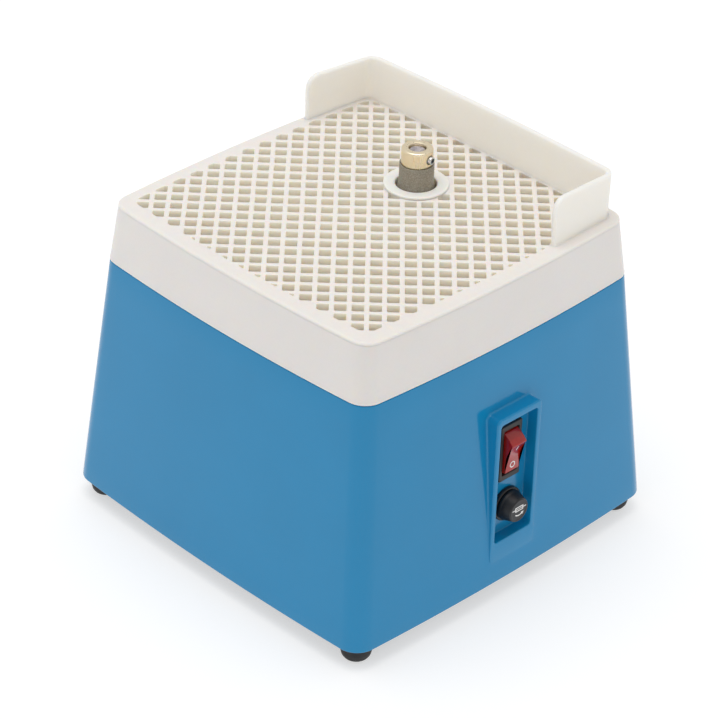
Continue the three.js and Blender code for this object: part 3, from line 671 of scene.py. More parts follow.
def at_gland(p):
    """Height of a turned profile becomes the outward direction of the rear wall at the cable inlet."""
    x, y, z = p
    # turn +Z to +Y, then lean with the wall
    y, z = z, -y
    c, s = cos(GLAND_TILT), sin(GLAND_TILT)
    y, z = y * c - z * s, y * s + z * c
    return (x + GLAND[0], y + GLAND[1], z + GLAND[2])


def along_x(cy, cz):
    return lambda p: (p[2], p[0] * 1.0 + cy, p[1] + cz)


# ------------------------------------------------------------------ casing
def make_casing():
    sh = Shell()
    # outer skin
    zs = [(5.0, 0.8), (5.1, 0.45), (5.3, 0.2), (5.6, 0.05), (5.95, 0.0), (14, 0), (38, 0), (60, 0), (82, 0), (105, 0),
          (120, 0), (132.05, 0), (132.3, 0.06), (132.5, 0.2), (132.6, 0.45)]
    rings = [sh.ring(case_ring(z, i)) for z, i in zs]
    lv = {z: k for k, (z, _) in enumerate(zs)}
    n = len(rings[0])
    y_at = [None] + BREAKS + [None]
    cum = np.cumsum([0, *SEGS])
    at = {b: int(cum[i + 1]) for i, b in enumerate(BREAKS)}

    def windows(side, i, l0, level):
        z = level[l0]
        if side == 0 and at[-20] <= i < at[20] and 14 <= z < 105:
            return True
        return side == 1 and at[-57] <= i < at[-33] and 14 <= z < 38

    def skin(rs, levels):
        for l in range(len(rs) - 1):
            for i in range(n):
                side, k = divmod(i, PER_SIDE)
                if k < NS and windows(side, k, l, levels):
                    continue
                j = (i + 1) % n
                sh.face([rs[l][i], rs[l][j], rs[l + 1][j], rs[l + 1][i]])

    skin(rings, [z for z, _ in zs])

    def window_loop(rs, levels, side, b0, b1, z0, z1):
        """Boundary of a window, as indices and places on the face."""
        l0, l1 = levels.index(z0), levels.index(z1)
        i0, i1 = at[b0], at[b1]
        places = np.interp(range(i0, i1 + 1), [i0, i1], [b0, b1])
        if side == 0:
            places = np.linspace(b0, b1, i1 - i0 + 1)
        idx, p2 = [], []
        for i, y in zip(range(i0, i1), places[:-1]):
            idx.append(rs[l0][side * PER_SIDE + i]); p2.append((y, z0))
        for l in range(l0, l1):
            idx.append(rs[l][side * PER_SIDE + i1]); p2.append((b1, levels[l]))
        for i, y in zip(range(i1, i0, -1), places[::-1][:-1]):
            idx.append(rs[l1][side * PER_SIDE + i]); p2.append((y, z1))
        for l in range(l1, l0, -1):
            idx.append(rs[l][side * PER_SIDE + i0]); p2.append((b0, levels[l]))
        return idx, p2

    levels = [z for z, _ in zs]
    # hood: from the wall out to its front plane, and down into the switch pocket
    P = np.array(rr(*HOOD, 3.0)); N = np.array(rr_normals(3.0))
    deep = np.array([max(POCKET_X - wall_x(y, z), 0.03) for y, z in P])
    rc, rv = np.minimum(0.9, 0.45 * deep), np.minimum(0.9, 0.45 * deep)
    hood = []
    first2 = None
    for a in (0, 18, 36, 54, 72, 90):
        off = rc * (1 - sin(rad(a)))
        q = P + N * off[:, None]
        x = np.array([wall_x(y, z) for y, z in q]) + rc * (1 - cos(rad(a)))
        if first2 is None:
            first2 = q
        hood.append(sh.ring(zip(x, q[:, 0], q[:, 1])))
    for a in (0, 18, 36, 54, 72, 90):
        q = P - N * (rv * (1 - cos(rad(a))))[:, None]
        x = POCKET_X - rv * (1 - sin(rad(a)))
        hood.append(sh.ring(zip(x, q[:, 0], q[:, 1])))
    Q = np.array(rr(*POCKET, 1.6)); M = np.array(rr_normals(1.6))
    rm = 0.55
    for a in (0, 18, 36, 54, 72, 90):
        q = Q + M * (rm * (1 - sin(rad(a))))
        hood.append(sh.ring((POCKET_X - rm * (1 - cos(rad(a))), y, z) for y, z in q))
    for x in (102.0, 100.3):
        hood.append(sh.ring((x, y, z) for y, z in Q))
    rf = 0.5
    for a in (0, 30, 60, 90):
        q = Q - M * (rf * (1 - cos(rad(a))))
        hood.append(sh.ring((POCKET_FLOOR + rf * (1 - sin(rad(a))), y, z) for y, z in q))
        last2 = q
    sh.loft(hood)
    sh.fill(window_loop(rings, levels, 0, -20, 20, 14, 105), [(hood[0], first2)])
    sw = rr(-6.2, 6.2, SWITCH_Z - 13.4, SWITCH_Z + 13.4, 0.5, 4, 8, 3)
    fu = circle(6.5, 48, 0, FUSE_Z)
    a_sw, a_fu = sh.ring((POCKET_FLOOR, y, z) for y, z in sw), sh.ring((POCKET_FLOOR, y, z) for y, z in fu)
    sh.fill((hood[-1], last2), [(a_sw, sw), (a_fu, fu)])

    # inner skin, with the back of the pocket standing into it
    zi = [5.0, 14, 38, 60, 82, 105, 115]
    inner = [sh.ring(case_ring(z, WALL)) for z in zi]
    skin(inner, zi)
    sh.bridge(rings[0], inner[0])

    def back_x(y, z):
        return min(POCKET_FLOOR - 2.5, wall_x(y, z, WALL) - 0.05)

    B = rr(HOOD[0], HOOD[1], 25.5, 98.3, 2.0)
    ring_a = sh.ring((wall_x(y, z, WALL), y, z) for y, z in B)
    ring_b = sh.ring((back_x(y, z), y, z) for y, z in B)
    sh.bridge(ring_a, ring_b)
    sh.fill(window_loop(inner, zi, 0, -20, 20, 14, 105), [(ring_a, B)])
    b_sw, b_fu = sh.ring((back_x(y, z), y, z) for y, z in sw), sh.ring((back_x(y, z), y, z) for y, z in fu)
    sh.fill((ring_b, B), [(b_sw, sw), (b_fu, fu)])
    sh.bridge(a_sw, b_sw)
    sh.bridge(a_fu, b_fu)

    # cable inlet hole through the rear wall
    g = circle(6.2, 40, -45, 26)
    g0 = sh.ring((-y, wall_x(y, z), z) for y, z in g)
    g1 = sh.ring((-y, wall_x(y, z, WALL), z) for y, z in g)
    sh.fill(window_loop(rings, levels, 1, -57, -33, 14, 38), [(g0, g)])
    sh.fill(window_loop(inner, zi, 1, -57, -33, 14, 38), [(g1, g)])
    sh.bridge(g0, g1)

    # rim, recess and deck
    rec = [(91.05, 132.6), (90.75, 132.5), (90.62, 132.3), (90.6, 132.0), (90.6, 125.0), (90.6, 119.4), (90.5, 118.9), (90.2, 118.4), (89.8, 118.1), (89.3, 118.0)]
    rr_ = [sh.ring(ring_at(h, SEAM_CROWN, SEAM_R - 3 - (90.6 - h) * 0.6, z)) for h, z in rec]
    sh.bridge(rings[-1], rr_[0])
    sh.loft(rr_)
    holes = [circle(11, 72, SX, SY)] + [circle(2.4, 24, x, y) for x, y in BOLTS]
    top = [sh.ring((x, y, DECK_HI) for x, y in h) for h in holes]
    bot = [sh.ring((x, y, DECK_LO) for x, y in h) for h in holes]
    sh.fill((rr_[-1], [sh.v[i][:2] for i in rr_[-1]]), list(zip(top, holes)))
    sh.fill((inner[-1], [sh.v[i][:2] for i in inner[-1]]), list(zip(bot, holes)))
    for a, b in zip(top, bot):
        sh.bridge(a, b)
    # foot screw bosses
    for _, x, y in CORNERS:
        sh.lathe(soften([(2.1, 8.3), (5, 8.3), (5, 36), (2.1, 36)], 0.4, 2), 32, lambda p, x=x, y=y: (p[0] + x, p[1] + y, p[2]), closed=True)
    return build("casing_shell", sh, "base", casing_blue, ["base_casing"], angle=28)


make_casing()


# ------------------------------------------------------------------ base plate, feet and their screws
def make_base_plate():
    sh = Shell()
    lo, hi = FOOT_H + 0.4, FOOT_H + 2.9
    outer = [sh.ring(case_ring(z, i)) for z, i in [(lo, 4.1), (lo + 0.15, 3.7), (lo + 0.5, 3.5), (hi - 0.5, 3.5), (hi - 0.15, 3.7), (hi, 4.1)]]
    outer = [[i for i in r] for r in outer]
    sh.loft(outer)
    shapes = [circle(2.2, 24, x, y) for _, x, y in CORNERS]
    for i in range(-3, 4):
        shapes.append(rr(SX - 24, SX + 24, SY + i * 9 - 2, SY + i * 9 + 2, 1.9, 6, 2, 6))
    for i in range(-2, 3):
        shapes.append(rr(SX - 24, SX + 24, -62 + i * 9 - 2, -62 + i * 9 + 2, 1.9, 6, 2, 6))
    a, a2, b, b2 = [], [], [], []
    for s in shapes:
        nn = normals2(s)
        wide = np.array(s) + nn * 0.3
        a.append((sh.ring((x, y, lo) for x, y in wide), wide))
        r1 = sh.ring((x, y, lo + 0.3) for x, y in s)
        r2 = sh.ring((x, y, hi - 0.3) for x, y in s)
        b.append((sh.ring((x, y, hi) for x, y in wide), wide))
        sh.loft([a[-1][0], r1, r2, b[-1][0]])
    sh.fill((outer[0], [sh.v[i][:2] for i in outer[0]]), a)
    sh.fill((outer[-1], [sh.v[i][:2] for i in outer[-1]]), b)
    return build("base_plate_panel", sh, "base", base_black, ["base_plate"])


make_base_plate()


def polar(outline_pts, n):
    """A star-shaped outline sampled at n even angles, with its own corners kept by moving the nearest samples onto them."""
    p = np.array(outline_pts, float)
    out = []
    for i in range(n):
        a = 2 * pi * i / n
        d = np.array([cos(a), sin(a)])
        best = None
        for k in range(len(p)):
            q0, q1 = p[k], p[(k + 1) % len(p)]
            e = q1 - q0
            den = d[0] * e[1] - d[1] * e[0]
            if abs(den) < 1e-12:
                continue
            t = (q0[0] * e[1] - q0[1] * e[0]) / den
            u = (q0[0] * d[1] - q0[1] * d[0]) / den
            if t > 0 and -1e-9 <= u <= 1 + 1e-9:
                best = t if best is None else max(best, t)
        out.append(tuple(d * best))
    return out


def screw_head(sh, prof, outline_pts, depth, n, place, mat=0):
    """A turned head whose open top edge, prof's last point, runs in to a driver recess."""
    rings = sh.lathe(prof, n, place, mat)
    z = prof[-1][1]
    s = polar(outline_pts, n)
    r0 = sh.ring(place((x * 1.06, y * 1.06, z)) for x, y in s)
    r1 = sh.ring(place((x, y, z - 0.08)) for x, y in s)
    r2 = sh.ring(place((x * 0.86, y * 0.86, z - depth)) for x, y in s)
    c = sh.ring([place((0, 0, z - depth * 1.12))]) * n
    sh.loft([rings[-1], r0, r1, r2, c], mat=mat)


CROSS = [(0.42, 0.42), (0.42, 1.75), (-0.42, 1.75), (-0.42, 0.42), (-1.75, 0.42), (-1.75, -0.42), (-0.42, -0.42), (-0.42, -1.75), (0.42, -1.75), (0.42, -0.42), (1.75, -0.42), (1.75, 0.42)]


def hexagon(r):
    return [(r * cos(rad(60 * i + 30)), r * sin(rad(60 * i + 30))) for i in range(6)]


for where, x, y in CORNERS:
    sh = Shell()
    prof = soften([(2.2, 4.7), (7.6, 4.7), (7.6, -0.8), (7.1, -2.8), (6.1, -4.3), (4.9, -5), (3.5, -5), (3.5, 2.2), (2.2, 2.2)], [0.1, 0.25, 1.5, 1.6, 1.4, 0.7, 0.4, 0.2, 0.1], 5)
    sh.lathe(prof, 64, lambda p, x=x, y=y: (p[0] + x, p[1] + y, p[2]), closed=True)
    build(f"rubber_foot_{where}", sh, "base", foot_rubber, [f"foot_{where}"], angle=40)
    sh = Shell()
    # seen from below, so the head is built pointing down
    prof = [(0, -27), (1.55, -25.8), (1.6, -25.5), (1.6, -1.9), (2.9, -1.9), (3.1, -1.75), (3.1, -1.2), (2.9, -0.8), (2.5, -0.62), (2.2, -0.6)]
    screw_head(sh, prof, CROSS, 0.9, 48, lambda p, x=x, y=y: (p[0] + x, -p[1] + y, -p[2]))
    build(f"foot_screw_detail_{where}", sh, "base", zinc_steel, [f"foot_screw_{where}"])


# ------------------------------------------------------------------ what shows of the motor when the tray is lifted off
for i, (x, y) in enumerate(BOLTS):
    sh = Shell()
    prof = [(0, 51), (1.9, 51.2), (1.9, 118.3), (3.4, 118.3), (3.5, 118.5), (3.5, 119.9), (3.3, 120.5), (2.8, 121.0), (2.3, 121.2)]
    screw_head(sh, prof, CROSS, 1.4, 48, lambda p, x=x, y=y: (p[0] + x, p[1] + y, p[2]))
    build(f"motor_bolt_detail_{i + 1}", sh, "base", zinc_steel, [f"motor_bolt_{i + 1}"])


def at_spindle(p):
    return (p[0] + SX, p[1] + SY, p[2])


sh = Shell()
sh.lathe(soften([(4.4, 115.3), (10.7, 115.3), (10.7, 117.9), (8, 117.9), (7.6, 116.8), (6.4, 116.8), (5.4, 117.6), (4.4, 117.6)], 0.3, 4), 72, at_spindle, closed=True)
build("seal_lip_ring", sh, "base", seal_rubber, ["shaft_seal"])
sh = Shell()
sh.lathe(soften([(4.2, 118.6), (9.8, 118.6), (9.8, 119.4), (7.2, 120.2), (6.5, 121.2), (6.5, 122.6), (4.2, 122.6)], [0.1, 0.3, 0.3, 1.2, 1.0, 0.5, 0.1], 5), 72, at_spindle, closed=True)
build("slinger_disc", sh, "spindle", seal_rubber, ["shaft_slinger"])


def make_shaft():
    sh = Shell()
    n = 96

    def section(r, z, flat=None):
        pts = []
        for i in range(n):
            a = 2 * pi * i / n
            rr_ = r
            if flat is not None and cos(a - FLAT_AZ) > 0:
                rr_ = min(r, flat / cos(a - FLAT_AZ))
            pts.append((SX + rr_ * cos(a), SY + rr_ * sin(a), z))
        return sh.ring(pts)

    low = sh.ring([(SX, SY, 34.0)]) * n
    rings = [low, section(3.5, 34.0), section(3.8, 34.15), section(4.0, 34.5), section(4.0, 100.0), section(4.0, 149.9),
             section(4.0, 150.0, 3.1), section(4.0, 165.0, 3.1), section(4.0, 181.9, 3.1)]
    rings += [section(3.93, 182.2, 3.04), section(3.75, 182.45, 2.9), section(3.5, 182.55, 2.7)]
    sh.loft(rings)
    # sawn end face: a shallow uneven dish
    prev = rings[-1]
    for k, f in enumerate((0.86, 0.7, 0.54, 0.38, 0.2)):
        ring = []
        for i in range(n):
            a = 2 * pi * i / n
            rr_ = min(3.5, 2.7 / max(cos(a - FLAT_AZ), 1e-3)) if cos(a - FLAT_AZ) > 0 else 3.5
            x, y = f * rr_ * cos(a), f * rr_ * sin(a)
            h = 0.16 * noise.noise(Vector((x * 0.9 + 7, y * 0.9, 3.1))) + 0.05 * noise.noise(Vector((x * 3, y * 3, 1.7)))
            ring.append((SX + x, SY + y, 182.52 + h * (1 - f) ** 0.3 - 0.06))
        ring = sh.ring(ring)
        sh.bridge(prev, ring, mat=1)
        prev = ring
    sh.bridge(prev, sh.ring([(SX, SY, 182.42)]) * n, mat=1)
    return build("spindle_shaft", sh, "spindle", [shaft_steel, end_steel()], ["motor_shaft"], angle=35)


make_shaft()


# ------------------------------------------------------------------ grinding head
def make_head():
    sh = Shell()
    prof = soften([(4.3, 151.2), (7.6, 151.2), (7.6, 175.8), (7.8, 175.8), (7.8, 183.8), (4.5, 183.8), (4.3, 183.5)], [0.3, 0.5, 0.05, 0.15, 0.95, 0.55, 0.2], 6)
    sh.lathe(prof, 128, at_spindle, closed=True)
    ob = build("head_core_detail", sh, "grinding_head", head_brass, ["grinding_head_core"], angle=35)
    c, s = cos(FLAT_AZ), sin(FLAT_AZ)

    def radial(p):
        # profile height runs out along the set screw's direction
        x, y, z = p[2], p[0], p[1]
        return (SX + x * c - y * s, SY + x * s + y * c, 179.3 + z)

    cutter = Shell()
    cutter.lathe([(0, 1), (2.32, 1), (2.32, 7.1), (2.75, 9.0), (0, 9.0)], 48, radial)
    cut_with(ob, cutter, 35)

    sh = Shell()
    prof = soften([(7.9, 153.6), (9.6, 153.6), (9.4, 162.4), (8.6, 166.0), (8.6, 175.5), (7.9, 175.5)], [0.1, 0.35, 3.0, 3.0, 0.25, 0.1], 8)
    # even steps along the profile, so that the grit can stand out of the mesh itself
    fine = []
    for a, b in zip(prof, prof[1:] + prof[:1]):
        k = max(1, int(math.dist(a, b) / 0.32))
        fine += [(lerp(a[0], b[0], i / k), lerp(a[1], b[1], i / k)) for i in range(k)]
    seg = 180
    rings = []
    for r, z in fine:
        ring = []
        for i in range(seg):
            a = 2 * pi * i / seg
            rr_ = r
            if r > 8.2:
                v = Vector((cos(a) * r, sin(a) * r, z))
                rr_ += -0.07 + 0.10 * noise.noise(v * 2.1) + 0.07 * noise.noise(v * 4.3)
            ring.append(at_spindle((rr_ * cos(a), rr_ * sin(a), z)))
        rings.append(sh.ring(ring))
    sh.loft(rings + [rings[0]])
    build("diamond_sleeve_grit", sh, "grinding_head", diamond_grit, ["diamond_sleeve"], angle=60)

    sh = Shell()
    prof = [(0, 3.7), (1.3, 3.72), (1.9, 4.3)]
    # thread turns round the screw's barrel
    z = 4.5
    while z < 7.0:
        prof += [(2.0, z), (1.82, z + 0.18), (2.0, z + 0.36)]
        z += 0.42
    prof += [(2.0, 8.85), (1.93, 9.1), (1.7, 9.27), (1.55, 9.3)]
    screw_head(sh, prof, hexagon(1.38), 2.6, 48, radial)
    build("set_screw_detail", sh, "grinding_head", screw_steel, ["set_screw"])


make_head()


# ------------------------------------------------------------------ water tray and sponge
def make_tray():
    sh = Shell()
    outer = [sh.ring(tray_ring(z, i)) for z, i in [
        (SEAM_Z, 0.35), (SEAM_Z + 0.02, 0.1), (SEAM_Z + 0.12, -0.12), (SEAM_Z + 0.35, -0.22), (SEAM_Z + 0.75, -0.22), (SEAM_Z + 1.0, -0.1), (SEAM_Z + 1.25, 0.0),
        (142, 0), (152, 0), (RIM_Z - 0.45, 0), (RIM_Z - 0.22, 0.05), (RIM_Z - 0.07, 0.18), (RIM_Z, 0.42)]]
    inner = [sh.ring(ring_at(h, c, r, z)) for h, c, r, z in [
        (87.5, LID_CROWN, 7.2, RIM_Z), (87.25, LID_CROWN, 6.95, RIM_Z - 0.12), (87.1, LID_CROWN, 6.8, RIM_Z - 0.4), (87.0, SEAM_CROWN, 6.2, 140),
        (86.1, SEAM_CROWN, 5.6, 131), (85.5, SEAM_CROWN, 5.2, 127.6), (84.9, SEAM_CROWN, 5.2, 126.2), (84.0, SEAM_CROWN, 5.0, 125.2), (82.9, SEAM_CROWN, 4.6, 124.7), (81.8, SEAM_CROWN, 4.2, 124.5)]]
    under = [sh.ring(ring_at(h, SEAM_CROWN, r, z)) for h, r, z in [
        (91.2, 9.5, SEAM_Z), (90.9, 9.2, SEAM_Z + 0.15), (90.8, 9.0, SEAM_Z + 0.6), (88.6, 7.4, SEAM_Z + 1.0), (88.1, 7.1, SEAM_Z + 0.7), (88.0, 7.0, SEAM_Z), (88.0, 7.0, 123.6), (87.8, 6.8, 122.9), (87.3, 6.4, 122.4), (86.6, 6.0, 122.1), (85.8, 5.6, 122.0)]]
    sh.loft(outer)
    # inside walls and floor of the tray take the lighter, warmer cell white: painted light seen through the grid
    sh.loft([outer[-1]] + inner, mat=1)
    sh.loft([outer[0]] + under)
    floor_c, under_c = circle(15.2, 72, SX, SY), circle(11.0, 72, SX, SY)
    fc = sh.ring((x, y, 124.5) for x, y in floor_c)
    uc = sh.ring((x, y, 122.0) for x, y in under_c)
    sh.fill((inner[-1], [sh.v[i][:2] for i in inner[-1]]), [(fc, floor_c)], mat=1)
    sh.fill((under[-1], [sh.v[i][:2] for i in under[-1]]), [(uc, under_c)])
    collar = [fc]
    for r, z in [(14.5, 124.65), (13.9, 125.2), (13.6, 126.2), (13.5, 127.5), (13.5, 147.0), (13.35, 147.6), (13.0, 147.95), (12.6, 148.0), (11.7, 148.0), (11.3, 147.9), (11.05, 147.6), (11.0, 147.2), (11.0, 122.6)]:
        collar.append(sh.ring((x, y, z) for x, y in circle(r, 72, SX, SY)))
    sh.loft(collar + [uc])
    build("water_tray_shell", sh, "tray", [tray_white, cell_painted_light_white], ["water_tray"], angle=28)

    # sponge: a foam block, cut to an L, pressed against the back of the head
    sh = Shell()
    prof = soften([(14.3, 124.9), (27, 124.9), (27, 157.5), (10.1, 157.5), (10.1, 149), (14.3, 149)], [1.2, 1.6, 2.2, 2.0, 1.6, 1.2], 4)
    nn = normals2(prof)
    loops = []
    for x, inset in [(-17, 1.6), (-16.6, 0.7), (-15.8, 0.2), (-14.6, 0)] + [(t, 0) for t in np.linspace(-12, 12, 9)] + [(14.6, 0), (15.8, 0.2), (16.6, 0.7), (17, 1.6)]:
        loops.append(sh.ring((SX + x, SY + y, z) for y, z in np.array(prof) - nn * inset))
    sh.loft(loops)
    sh.face(loops[0])
    sh.face(loops[-1])
    ob = build("sponge_block", sh, "tray", sponge_foam, ["coolant_sponge"], angle=180)
    mod = ob.modifiers.new("remesh", "REMESH")
    mod.mode, mod.voxel_size = "VOXEL", 0.75 * MM
    baked(ob, 180)
    me = ob.data
    co = np.zeros(len(me.vertices) * 3); me.vertices.foreach_get("co", co); co = co.reshape(-1, 3)
    no = np.zeros(len(me.vertices) * 3); me.vertices.foreach_get("normal", no); no = no.reshape(-1, 3)
    mid = np.array([SX * MM, (SY + 19) * MM, 0.141 + DATUM * MM])
    for k in range(len(co)):
        v = Vector(co[k]) * 1000
        d = -0.45 + 0.35 * noise.noise(v * 0.11) + 0.30 * noise.noise(v * 0.55) + 0.22 * noise.noise(v * 1.2)
        # the long sides sag in a little between the corners
        u = (co[k] - mid) / np.array([0.017, 0.013, 0.0163])
        d -= 0.5 * max(0.0, 1 - u[0] ** 2) * max(0.0, 1 - u[2] ** 2)
        co[k] += no[k] * min(d, -0.02) * MM
    me.vertices.foreach_set("co", co.ravel()); me.update()


make_tray()


# ------------------------------------------------------------------ worktop: grid, border and splash guard in one moulding
def clip(poly, ring):
    out = poly
    for i in range(len(ring)):
        if not out:
            break
        (ax, ay), (bx, by) = ring[i], ring[(i + 1) % len(ring)]
        nxt = []
        for k in range(len(out)):
            p, q = out[k], out[(k + 1) % len(out)]
            dp = (bx - ax) * (p[1] - ay) - (by - ay) * (p[0] - ax)
            dq = (bx - ax) * (q[1] - ay) - (by - ay) * (q[0] - ax)
            if dp >= 0:
                nxt.append(p)
            if (dp > 0 > dq) or (dp < 0 < dq):
                t = dp / (dp - dq)
                nxt.append((p[0] + (q[0] - p[0]) * t, p[1] + (q[1] - p[1]) * t))
        out = nxt
    return out


def area2(p):
    return sum(p[i][0] * p[(i + 1) % len(p)][1] - p[(i + 1) % len(p)][0] * p[i][1] for i in range(len(p))) / 2


def grid_cells():
    field = outline(82.6, 2.4, 6, 82.0, -1.05, 0.3)
    half = (PITCH - BAR) / 2
    cells = []
    for i in range(-2, 28):
        for j in range(-15, 15):
            u, v = GRID_U - PITCH * (i + 0.5), GRID_V + PITCH * (j + 0.5)
            cell = []
            for a, b in [(-1, -1), (1, -1), (1, 1), (-1, 1)]:
                p, q = u + a * half, v + b * half
                cell.append(((p + q) / math.sqrt(2), (q - p) / math.sqrt(2)))
            if area2(cell) < 0:
                cell.reverse()
            cx, cy = (u + v) / math.sqrt(2) - SX, (v - u) / math.sqrt(2) - SY
            if math.hypot(cx, cy) < 15.5:
                continue
            if max(abs(cx + SX), abs(cy + SY)) > 74:
                cell = clip(cell, field)
            if len(cell) < 3 or area2(cell) < 2.5:
                continue
            keep = [p for k, p in enumerate(cell) if math.dist(p, cell[(k + 1) % len(cell)]) > 0.15]
            if len(keep) < 3:
                continue
            rounded = soften(keep, 0.55 if area2(keep) > 12 else 0.85, 3)
            if math.hypot(cx, cy) < 15.3 + 5:
                # the hub of the ring insert bites into the cells round it
                out = []
                for k, p in enumerate(rounded):
                    q = rounded[(k + 1) % len(rounded)]
                    steps = max(1, int(math.dist(p, q) / 0.6))
                    for s_ in range(steps):
                        x, y = lerp(p[0], q[0], s_ / steps) - SX, lerp(p[1], q[1], s_ / steps) - SY
                        d = math.hypot(x, y)
                        if d < 15.3:
                            x, y = x / d * 15.3, y / d * 15.3
                        if not out or math.dist(out[-1], (x + SX, y + SY)) > 0.12:
                            out.append((x + SX, y + SY))
                rounded = out
            # drop repeated points
            clean = [p for k, p in enumerate(rounded) if math.dist(p, rounded[k - 1]) > 0.02]
            if len(clean) >= 3 and abs(area2(clean)) > 2.0:
                cells.append(clean)
    return cells


def guard_line(k):
    """Stations along the outer side of the guard at k, 0 at its foot and 1 at its top: place, normal, distance run."""
    wing = lambda y: LID_CROWN * (y / 77.85) ** 2
    east = lambda y: lerp(GUARD_X1 - wing(y), GUARD_RIGHT, k)
    west = lambda y: lerp(GUARD_X0 + wing(y), GUARD_LEFT + GUARD_TURN * (y - GUARD_Y0), k)
    back = lambda x: GUARD_Y1 - GUARD_LEAN * k - GUARD_CROWN * (x / 70) ** 2
    slope = lambda f, t: (f(t + 0.01) - f(t - 0.01)) / 0.02

    def corner(w):
        a1, a2 = math.atan(-slope(w, 78)), math.atan(-slope(back, 76))
        cx, cy = 0.0, 78.0
        for _ in range(30):
            cx = w(cy + 7 * sin(a1)) - 7 * cos(a1)
            cy = back(cx + 7 * sin(a2)) - 7 * cos(a2)
        return cx, cy, a1, a2

    pts, nor = [], []

    def put(x, y, nx, ny):
        ln = math.hypot(nx, ny)
        pts.append((x, y)); nor.append((nx / ln, ny / ln))

    rx, ry, r1, r2 = corner(east)
    lx, ly, l1, l2 = corner(lambda y: -west(y))
    steps = np.array([0, 0.3, 0.65, 1.05, 1.5, 2.1, 2.9, 3.9, 5.2, 6.8, 9.0])

    def ys(top):
        return list(GUARD_Y0 + steps) + list(np.linspace(GUARD_Y0 + 11.2, top - 1.5, 9))

    for y in ys(ry):
        put(east(y), y, 1, -slope(east, y))
    for i in range(13):
        a = lerp(r1, pi / 2 - r2, i / 12)
        put(rx + 7 * cos(a), ry + 7 * sin(a), cos(a), sin(a))
    for x in np.linspace(rx, -lx, 30)[1:-1]:
        put(x, back(x), -slope(back, x), 1)
    for i in range(13):
        a = lerp(pi / 2 - l2, l1, i / 12)
        put(-lx - 7 * cos(a), ly + 7 * sin(a), -cos(a), sin(a))
    for y in reversed(ys(ly)):
        put(west(y), y, -1, slope(west, y))
    pts, nor = np.array(pts), np.array(nor)
    s = np.concatenate([[0], np.cumsum(np.linalg.norm(np.diff(pts, axis=0), axis=1))])
    return pts, nor, s


def lid_edge(p):
    """Distance from a plan point in to the lid's outer edge, roughly."""
    x, y = abs(p[0]), abs(p[1])
    return min(LID_HALF - LID_CROWN * min(1, (y / 77.85)) ** 2 - x, LID_HALF - LID_CROWN * min(1, (x / 77.85)) ** 2 - y)


